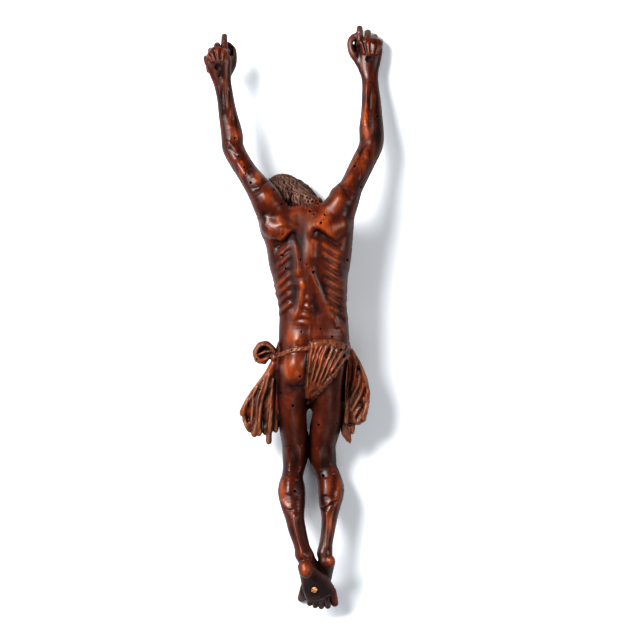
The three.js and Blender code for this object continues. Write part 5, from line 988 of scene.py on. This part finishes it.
# Where the varnish is worn to a warm orange, and where it is nearly black; the dark spots on the flanks,
# along the edges of the limbs, in creases and beside ridges are painted shade:
# [x, y, half width, half length, lean from the vertical in degrees, amount]
WEAR_AND_SHADE_SPOTS = [
    # upper back
    (22, 75, 5, 6, -35, 0.9), (31, 65, 3.4, 6, -30, 0.7), (23, 68, 4, 3, 0, 0.4), (-12, 68, 3, 5, 20, 0.5),
    (-7, 58, 2, 6, -50, 0.5), (-1, 80, 4, 4, 0, 0.3), (-20, 60, 2, 8, 5, 0.4), (-20, 74, 5, 5, 0, -0.4),
    (-2, 74, 4, 7, 10, 0.2), (10, 73, 2, 6, 0, 0.25), (12, 66, 2, 5, -10, 0.4),
    (18.6, 24, 1.8, 12, 22, -0.5), (14, 74, 1.4, 6, -15, -0.5), (40, 70, 2, 9, 10, -0.6),
    (-24, 74, 2, 10, 10, -0.5), (34, 76, 1.6, 7, -40, -0.5), (28, 71, 1.2, 6, -40, -0.4),
    # flanks and the small of the back
    (-9, 38, 6, 16, -5, -0.4), (-17, 42, 2, 14, -8, -0.3), (-13, 20, 3, 8, -15, 0.35),
    (5, 24, 1.6, 13, -4, 0.6), (-8, 8, 4, 8, 0, -0.3), (16.6, 17, 2.6, 9, 15, 0.3),
    (10, 44, 1.6, 14, 0, 0.3), (24, 34, 1.6, 22, -6, -0.3), (34, 30, 2.4, 16, 0, -0.5),
    (30, 47, 3, 2, 50, 0.6), (28, 37, 4, 2, 50, 0.7), (30, 24, 3, 2, 50, 0.5), (26, 15, 3, 2, 50, 0.6),
    (-14, 30, 2, 12, 5, -0.4), (-3, 40, 1.6, 12, 0, -0.5), (-1, 22, 1.6, 12, 6, -0.5),
    (5, 52, 2.4, 9, 0, -0.5), (20, -8, 5, 4, 0, 0.3), (-5, -8, 5, 4, 20, 0.2), (33, 0, 3, 12, -14, -0.3),
    (-5.4, -17.6, 3, 4, 0, 0.8), (-7.4, -39, 2.4, 8, 8, 0.9), (3.4, -44, 3.4, 3, 0, 0.7),
    (-12.4, -34, 1.6, 16, 0, -0.7), (8, -36, 2, 14, 0, -0.6), (-2, -52, 9, 3, 0, -0.4),
    # legs
    (-4.6, -66, 2.4, 16, 0, 0.35), (-14, -80, 2, 20, 0, -0.4), (1, -83, 1.1, 5, 0, 0.8),
    (17, -88, 3, 9, 0, 0.5), (26, -80, 3, 12, 0, -0.3), (8, -104, 1.4, 8, 0, -0.6),
    (-10.6, -131, 2.2, 8, 8, 1.6), (-6.4, -141, 2, 5, 25, 0.8), (3, -128, 2.4, 12, 0, -0.4),
    (-2, -110, 5, 5, 0, -0.4), (32.6, -131, 2, 9, -6, 1.6), (25.4, -129, 1.2, 9, -8, 0.8),
    (21, -110, 5, 6, 0, -0.5), (26, -154, 1.2, 12, 6, 0.9), (22, -136, 1.6, 6, 0, -0.4),
    (20.6, -158, 1.8, 12, 0, -0.7), (-1, -156, 2, 9, -18, -0.3),
    # feet
    (7.6, -190, 3.6, 4.4, 0, 1.6), (25.8, -183.4, 2.2, 3, 0, 1.5), (14, -204, 9, 8, 35, -1.2),
    (24, -200, 1.4, 9, 35, 0.5), (29.8, -215, 2.4, 2.4, 0, 0.9), (4, -213, 3, 4, 0, -0.8),
    (15, -217, 8, 2, 0, -0.4), (27, -192, 3, 5, 0, -0.5),
    # arms
    (-43.4, 134.6, 2.2, 3.6, 0, 1), (-49.4, 146, 1.1, 11, 8, 0.6), (-39, 114, 2.2, 6, 32, 0.8),
    (-27.4, 101, 2.6, 4, 35, 0.8), (-33.6, 105, 1.6, 5, 35, -0.7), (-31, 93, 1.8, 8, 40, -0.6),
    (-21.6, 89, 3, 4, 30, 0.5), (-46, 124, 2.4, 4, 10, -0.6), (-54, 156, 1.2, 16, 6, -0.7),
    (-46.6, 158, 1.4, 14, 8, -0.7), (-57, 192, 6, 8, 0, -0.25), (-52, 172, 1.2, 10, 5, 0.3),
    (52, 146, 1.5, 8, 2, 1.1), (53.4, 137, 2, 3, 0, 0.8), (51, 117.6, 2.2, 7, -28, 1),
    (39.6, 102, 2.6, 7, -36, 0.8), (45.4, 107, 1.4, 7, -32, -0.6), (55.6, 122, 2, 8, -25, -0.7),
    (62, 142, 2, 14, 2, -0.9), (56.8, 150, 1, 14, 0, -0.7), (47.6, 96, 2, 10, -30, -0.6),
    (42, 86, 1.6, 8, -25, -0.5), (56, 200, 7, 9, 0, -0.25), (53.6, 170, 1.2, 10, 0, 0.4),
    (26, 87, 2, 5, -40, -0.4), (62, 170, 1.6, 16, 0, -0.6),
]
# Where handling has left the wood dull and grey: [x, y, half width, half length, lean, amount]
GREYS = [
    (-53.4, 210, 3, 4, 0, 1), (-45.6, 193, 3, 8, 5, 0.8), (-65, 199, 2.4, 3, 0, 0.5),
    (48.5, 216, 3, 4, 0, 1), (54.6, 214, 2.6, 2.6, 0, 1), (60, 211, 2.4, 2.2, 0, 1),
    (41.6, 203, 3, 7, 0, 0.8), (66, 205, 2, 4, 0, 0.7), (4, -213, 4, 4, 0, 1), (13, -217, 6, 3, 0, 0.7),
    (22, -217.6, 4, 2.4, 0, 0.6), (20.6, -172, 2, 8, 0, 0.9), (-20, -92, 4, 4, 0, 0.8),
    (38, -90, 4, 5, 0, 0.7), (-57, 189.6, 3.4, 1.6, 0, 0.5),
]
# Where the varnish has gone matt: [x, y, half width, half length, lean, amount]
MATT = [(3.4, 53, 3, 11, 0, 1), (7, 70, 8, 7, 0, 0.5), (-3.4, 44, 2, 12, 0, 0.8),
        (-2.6, 24, 2.4, 12, 5, 0.6), (-4, -72, 7, 17, 0, 0.45), (23, -76, 8, 16, 0, 0.45),
        (12, -206, 9, 8, 0, 0.6), (20, 2, 6, 7, 0, 0.4)]


def painted(spots, x, y):
    total = 0
    for sx, sy, wide, long, lean, amount in spots:
        c, s = math.cos(math.radians(lean)), math.sin(math.radians(lean))
        across = ((x - F(sx)) * F(c) + (y - F(sy)) * F(s)) / F(wide)
        down = ((y - F(sy)) * F(c) - (x - F(sx)) * F(s)) / F(long)
        total = total + F(amount) * np.exp(-(across * across + down * down) / 2)
    return total


def dress(obj):
    """Writes how hollow or raised each spot is, and which spots are cloth or hair."""
    mesh = obj.data
    count = len(mesh.vertices)
    co, no = np.empty(count * 3, F), np.empty(count * 3, F)
    mesh.vertices.foreach_get("co", co)
    mesh.vertices.foreach_get("normal", no)
    co = co.reshape(-1, 3) * 1000 - np.array(SHIFT, F)
    no = no.reshape(-1, 3)
    hollow = 0
    for d, w in ((0.9, 0.3), (1.8, 0.4), (3.2, 0.3)):  # how far off, and its weight
        hollow = hollow + w * (1 - np.clip(sample(dressed, co + no * F(d)) / F(d), -0.5, 1.2))
    near = np.clip(sample(unbored, co), -3, 3)
    fine = (sample(soft_fine, co) - near) * 2 / FINE ** 2
    broad = (sample(soft_broad, co) - near) * 2 / BROAD ** 2
    cloth = np.clip((sample(body, co) - 0.15) / 0.4, 0, 1)
    skull = np.clip(1 - sample(smooth_head, co) / 1.5, 0, 1) * np.clip((sample(trunk, co) + 0.5) / 1, 0, 1)
    spots = head_axes_of(co[:, 0], co[:, 1], co[:, 2])
    hair = skull * (1 - bare_face(*spots))
    nape = np.exp(-((co[:, 0] - F(4)) / F(10)) ** 4 - ((co[:, 1] - F(88.6)) / F(5)) ** 4)
    hair = np.maximum(hair, nape * np.clip((co[:, 2] - F(38)) / 3, 0, 1))
    upward = np.clip(no[:, 2] * 1.6, 0, 1)
    level = np.clip(np.abs(no[:, 2]) * 1.6, 0, 1)
    # painted shade: the sides of forms, facing neither up nor down, are darkened, and the listed spots add
    # wear and painted shade
    wear_and_shade = painted(WEAR_AND_SHADE_SPOTS, co[:, 0], co[:, 1]) * upward - 0.5 * (1 - level)
    wear_and_shade = wear_and_shade + np.clip(-no[:, 2] * 1.6, 0, 1) * (0.2 + 0.4 * read(front, (0, 0), co[:, :2]))
    relief = np.clip(read(back, (0, 0), co[:, :2]), -1.4, 1.4)
    # lighter on the ridges of the back's relief, darker in its grooves
    wear_and_shade = wear_and_shade + upward * np.where(co[:, 1] > -10, F(0.5), F(0.3)) * relief
    grey = painted(GREYS, co[:, 0], co[:, 1])
    matt = painted(MATT, co[:, 0], co[:, 1])
    for name, values in {"hollow": hollow, "fine": fine, "broad": broad, "cloth": cloth, "hair": hair,
                         "wear_and_shade": wear_and_shade, "grey": grey, "matt": matt}.items():
        layer = mesh.attributes.new(name, "FLOAT", "POINT")
        layer.data.foreach_set("value", np.clip(values, -2, 2).astype(F))
    # shading follows the carving itself, so that it runs on over the joints of the arms
    offsets = F(0.4) * np.eye(3, dtype=F)
    slope = np.stack([sample(dressed, co + off) - sample(dressed, co - off) for off in offsets], axis=1)
    steep = np.maximum(np.linalg.norm(slope, axis=1), 1e-6)
    mesh.normals_split_custom_set_from_vertices(slope / steep[:, None])
    # hair: a direction that runs with the strands, for their colour and fine relief
    turn, fall = head_angles(*spots)
    flow = np.stack([np.cos(turn), np.sin(turn), fall * 0.12], axis=1).astype(F)
    layer = mesh.attributes.new("flow", "FLOAT_VECTOR", "POINT")
    layer.data.foreach_set("vector", flow.ravel())


# Materials
class Value:
    """A number, colour or direction in a material. Numbers can be added, taken away and scaled."""

    def __init__(self, tree, socket):
        self.tree, self.socket = tree, socket

    def __add__(self, other):
        return self.tree.math("ADD", self, other)

    def __sub__(self, other):
        return self.tree.math("SUBTRACT", self, other)

    def __mul__(self, other):
        return self.tree.math("MULTIPLY", self, other)


class Tree:
    """A material, with short words for the nodes in use."""

    def __init__(self, name):
        self.material = bpy.data.materials.new(name)
        self.material.use_nodes = True
        self.tree = self.material.node_tree
        self.tree.nodes.clear()
        self.shader = self.tree.nodes.new("ShaderNodeBsdfPrincipled")
        out = self.tree.nodes.new("ShaderNodeOutputMaterial")
        self.tree.links.new(self.shader.outputs[0], out.inputs["Surface"])
        self.place = self.add("ShaderNodeTexCoord", {}, "Object")

    def fill(self, node, inputs):
        for key, value in inputs.items():
            if isinstance(value, Value):
                self.tree.links.new(value.socket, node.inputs[key])
            else:
                node.inputs[key].default_value = value

    def shade(self, inputs):
        self.fill(self.shader, inputs)

    def add(self, kind, inputs, output=0, **settings):
        node = self.tree.nodes.new(kind)
        for key, value in settings.items():
            setattr(node, key, value)
        self.fill(node, inputs)
        return Value(self, node.outputs[output])

    def math(self, kind, a, b, clamped=False):
        return self.add("ShaderNodeMath", {0: a, 1: b}, operation=kind, use_clamp=clamped)

    def fit(self, value, lo, hi, out_lo=0.0, out_hi=1.0):
        return self.add("ShaderNodeMapRange", dict(enumerate((value, lo, hi, out_lo, out_hi))))

    def mix(self, factor, a, b):
        return self.add("ShaderNodeMix", {0: factor, 6: a, 7: b}, 2, data_type="RGBA")

    def number(self, name):
        return self.add("ShaderNodeAttribute", {}, "Fac", attribute_name=name)

    def noise(self, scale, detail=3.0, stretch=(1, 1, 1), turn=(0, 0, 0), source=None):
        place = self.add("ShaderNodeMapping",
                         {"Vector": source or self.place, "Scale": stretch, "Rotation": turn})
        return self.add("ShaderNodeTexNoise", {"Vector": place, "Scale": scale, "Detail": detail}, "Fac")

    def bump(self, height, distance, strength, below=None):
        inputs = {"Height": height, "Distance": distance, "Strength": strength}
        if below:
            inputs["Normal"] = below
        return self.add("ShaderNodeBump", inputs)


def rgb(r, g, b):
    """A colour given as it looks on a screen, from 0 to 255."""
    return (*(((v / 255 + 0.055) / 1.055) ** 2.4 if v > 10 else v / 255 / 12.92 for v in (r, g, b)), 1.0)


def carved_wood():
    t = Tree("carved_wood")
    names = ("hollow", "fine", "broad", "cloth", "hair", "wear_and_shade", "grey", "matt")
    hollow, fine, broad, cloth, hair, wear_and_shade, grey, matt = (t.number(name) for name in names)
    grain = t.noise(900, 4, (1, 0.07, 1))
    blotch = t.noise(60, 4, turn=(0.6, 0.5, 0.4))
    patch = t.noise(120, 3, (1, 0.6, 1), (0.5, 0.4, 0.7))
    fleck = t.noise(420, 3, (1, 0.35, 1), (0.4, 0.7, 0.5))
    streak = t.noise(330, 3, (1, 0.1, 1))
    along = t.add("ShaderNodeSeparateXYZ", {0: t.place}, "Y")
    # bare wood: worn light where it is raised, darker in the hollows, with the listed wear and painted
    # shade, and darker on the legs and on the streaky arms
    lit = fine * 0.35 + broad - hollow * 0.5 + wear_and_shade
    lit = lit + t.fit(patch, 0.3, 0.7, -1, -0.1) + t.fit(fleck, 0.3, 0.7, -0.12, 0.12)
    lit = lit - t.fit(along, -0.04, -0.08, 0, 0.35)
    lit = lit + t.fit(along, 0.09, 0.11) * t.fit(streak, 0.35, 0.65, -0.9, 0.25)
    color = t.mix(t.fit(lit, -1.5, -0.5), rgb(28, 11, 8), rgb(70, 28, 14))
    color = t.mix(t.fit(lit, -0.4, 0.9), color, rgb(128, 62, 24))
    color = t.mix(t.fit(grain, 0.35, 0.65, 0, 0.3), color, rgb(44, 12, 6))
    # cloth: paler, with patches of the bare wood's brown
    cloth_lit = fine * 0.55 + broad * 0.7 + t.fit(patch, 0.3, 0.7, -0.3, 0.2)
    cloth_color = t.mix(t.fit(cloth_lit, -0.8, 0), rgb(24, 10, 7), rgb(72, 39, 25))
    cloth_color = t.mix(t.fit(cloth_lit, 0, 0.7), cloth_color, rgb(122, 80, 56))
    brown = t.noise(75, 3, turn=(0.3, 0.8, 0.5))
    cloth_color = t.mix(t.fit(brown, 0.5, 0.62, 0, 0.6), cloth_color, rgb(118, 52, 24))
    color = t.mix(cloth * 0.9, color, cloth_color)
    # hair: its strands run along the flow
    flow = t.add("ShaderNodeAttribute", {}, "Vector", attribute_name="flow")
    strand = t.noise(24, 2, source=flow)
    hair_color = t.mix(t.fit(strand, 0.4, 0.6), rgb(44, 28, 22), rgb(120, 92, 80))
    hair_color = t.mix(t.fit(fine, 0.1, -0.6), hair_color, rgb(40, 25, 19))
    color = t.mix(hair * 0.85, color, hair_color)
    dull = t.mix(t.fit(fleck, 0.35, 0.65), rgb(58, 42, 36), rgb(88, 68, 60))
    color = t.mix(t.fit(grey, 0.1, 1, 0, 0.85), color, dull)
    # darker in the hollows
    hollow_darkening = t.fit(hollow, 0.38, 0.85, 0, 0.85) * t.fit(hair, 0, 1, 1, 0.45)
    color = t.mix(hollow_darkening, color, rgb(20, 8, 6))
    rough = t.fit(blotch, 0.3, 0.7, 0.26, 0.4) + hair * 0.25 + t.fit(matt, 0, 1, 0, 0.34)
    rough = t.math("ADD", rough, t.fit(hollow, 0.2, 0.6, 0, 0.25), clamped=True)
    normal = t.bump(blotch, 0.0008, 0.2, t.bump(grain, 0.00012, 0.5))
    normal = t.bump(strand * hair, 0.0006, 1.0, normal)
    t.shade({"Base Color": color, "Roughness": rough, "Specular IOR Level": 0.22, "Normal": normal})
    return t.material


def peg_wood():
    t = Tree("peg_wood")
    grain = t.noise(1500, 4, (1, 1, 0.15))
    color = t.mix(t.fit(grain, 0.35, 0.65), rgb(200, 132, 74), rgb(228, 182, 124))
    color = t.mix(t.fit(t.noise(420, 3), 0.48, 0.6), color, rgb(132, 70, 38))
    t.shade({"Base Color": color, "Roughness": 0.7, "Normal": t.bump(grain, 0.0003, 0.6)})
    return t.material


def paper():
    t = Tree("floor_paper")
    t.shade({"Base Color": rgb(212, 216, 220), "Roughness": 0.9})
    return t.material


wood, stub = carved_wood(), peg_wood()
FINE, BROAD = 1.1, 2.6  # spreads over which fine and broad forms are told apart
soft_fine, soft_broad = blurred(unbored, FINE), blurred(unbored, BROAD)
LIMITS = {"corpus": 190000, "arm_left": 60000, "arm_right": 60000}  # triangles
for name, field in fields.items():
    obj = mesh_of(name, field)
    thin(obj, LIMITS[name])
    dress(obj)
    obj.data.materials.append(wood)
    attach(obj, "root")
    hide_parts(name)

# The stub of the nail peg, broken off just above the sole
PEG_RADIUS = 2.35
peg_foot = sole_height - 8.6
peg = Field([(8, 20), (-212, -198), (10, 44)])
join(peg, limb([[*NAIL, peg_foot, PEG_RADIUS], [*NAIL, sole_height + 6, PEG_RADIUS]], 1))
px, py, pz = axes_of(peg.start, peg.end)
height = (py - F(NAIL[1])) * F(SOLE["normal"][1]) + (pz - F(sole_height)) * F(SOLE["normal"][2])
ragged = 0.45 + 0.25 * np.sin(px * 2.3 + 0.7) * np.sin(py * 1.9) + 0.15 * np.sin(px * 4.7 + py * 3.1)
peg.v = np.maximum(np.maximum(peg.v, height - ragged.astype(F)), F(peg_foot) - pz).astype(F)
obj = mesh_of("foot_peg", peg)
obj.data.shade_smooth()
obj.data.materials.append(stub)
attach(obj, "root")
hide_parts("foot_peg")

# Floor, light and camera
floor_mesh = bpy.data.meshes.new("floor")
floor_mesh.from_pydata([(-3, -3, 0), (3, -3, 0), (3, 3, 0), (-3, 3, 0)], [], [(0, 1, 2, 3)])
floor = bpy.data.objects.new("floor", floor_mesh)
bpy.context.scene.collection.objects.link(floor)
floor_mesh.materials.append(paper())


SIGHT = (0, 0, 0.03)  # what the lamps and the camera point at


def lamp(name, place, size, power, color):
    light = bpy.data.lights.new(name, "AREA")
    light.shape, light.size, light.energy, light.color = "DISK", size, power, color
    obj = bpy.data.objects.new(name, light)
    obj.location = place
    obj.rotation_euler = (Vector(SIGHT) - Vector(place)).to_track_quat("-Z", "Y").to_euler()
    bpy.context.scene.collection.objects.link(obj)
    return obj


lamps = [
    lamp("key", (-0.85, 0.6, 1.15), 0.7, 42, (1, 0.99, 0.98)),
    lamp("left", (-1.3, 0.15, 0.9), 0.6, 9, (0.97, 0.98, 1)),
    lamp("right", (1.25, 0.1, 1.0), 0.7, 12, (1, 0.98, 0.95)),
    lamp("foot", (0.3, -1.3, 1.1), 0.6, 6, (0.97, 0.98, 1)),
]
world = bpy.data.worlds.new("studio")
world.use_nodes = True
background = world.node_tree.nodes["Background"]
background.inputs["Color"].default_value = (0.9, 0.94, 1.0, 1)
background.inputs["Strength"].default_value = 0.19
bpy.context.scene.world = world
bpy.context.scene.view_settings.view_transform = "Standard"
bpy.context.scene.view_settings.look = "High Contrast"

CAMERA_HEIGHT, SENSOR = 3.0, 36
camera_data = bpy.data.cameras.new("camera")
camera_data.sensor_width = SENSOR
camera_data.lens = SENSOR * (CAMERA_HEIGHT - SIGHT[2]) / (VIEW * PIXEL / 1000)
camera = bpy.data.objects.new("camera", camera_data)
middle = from_pixel(VIEW / 2, VIEW / 2)
camera.location = ((middle[0] + SHIFT[0]) / 1000, (middle[1] + SHIFT[1]) / 1000, CAMERA_HEIGHT)
bpy.context.scene.collection.objects.link(camera)
bpy.context.scene.camera = camera
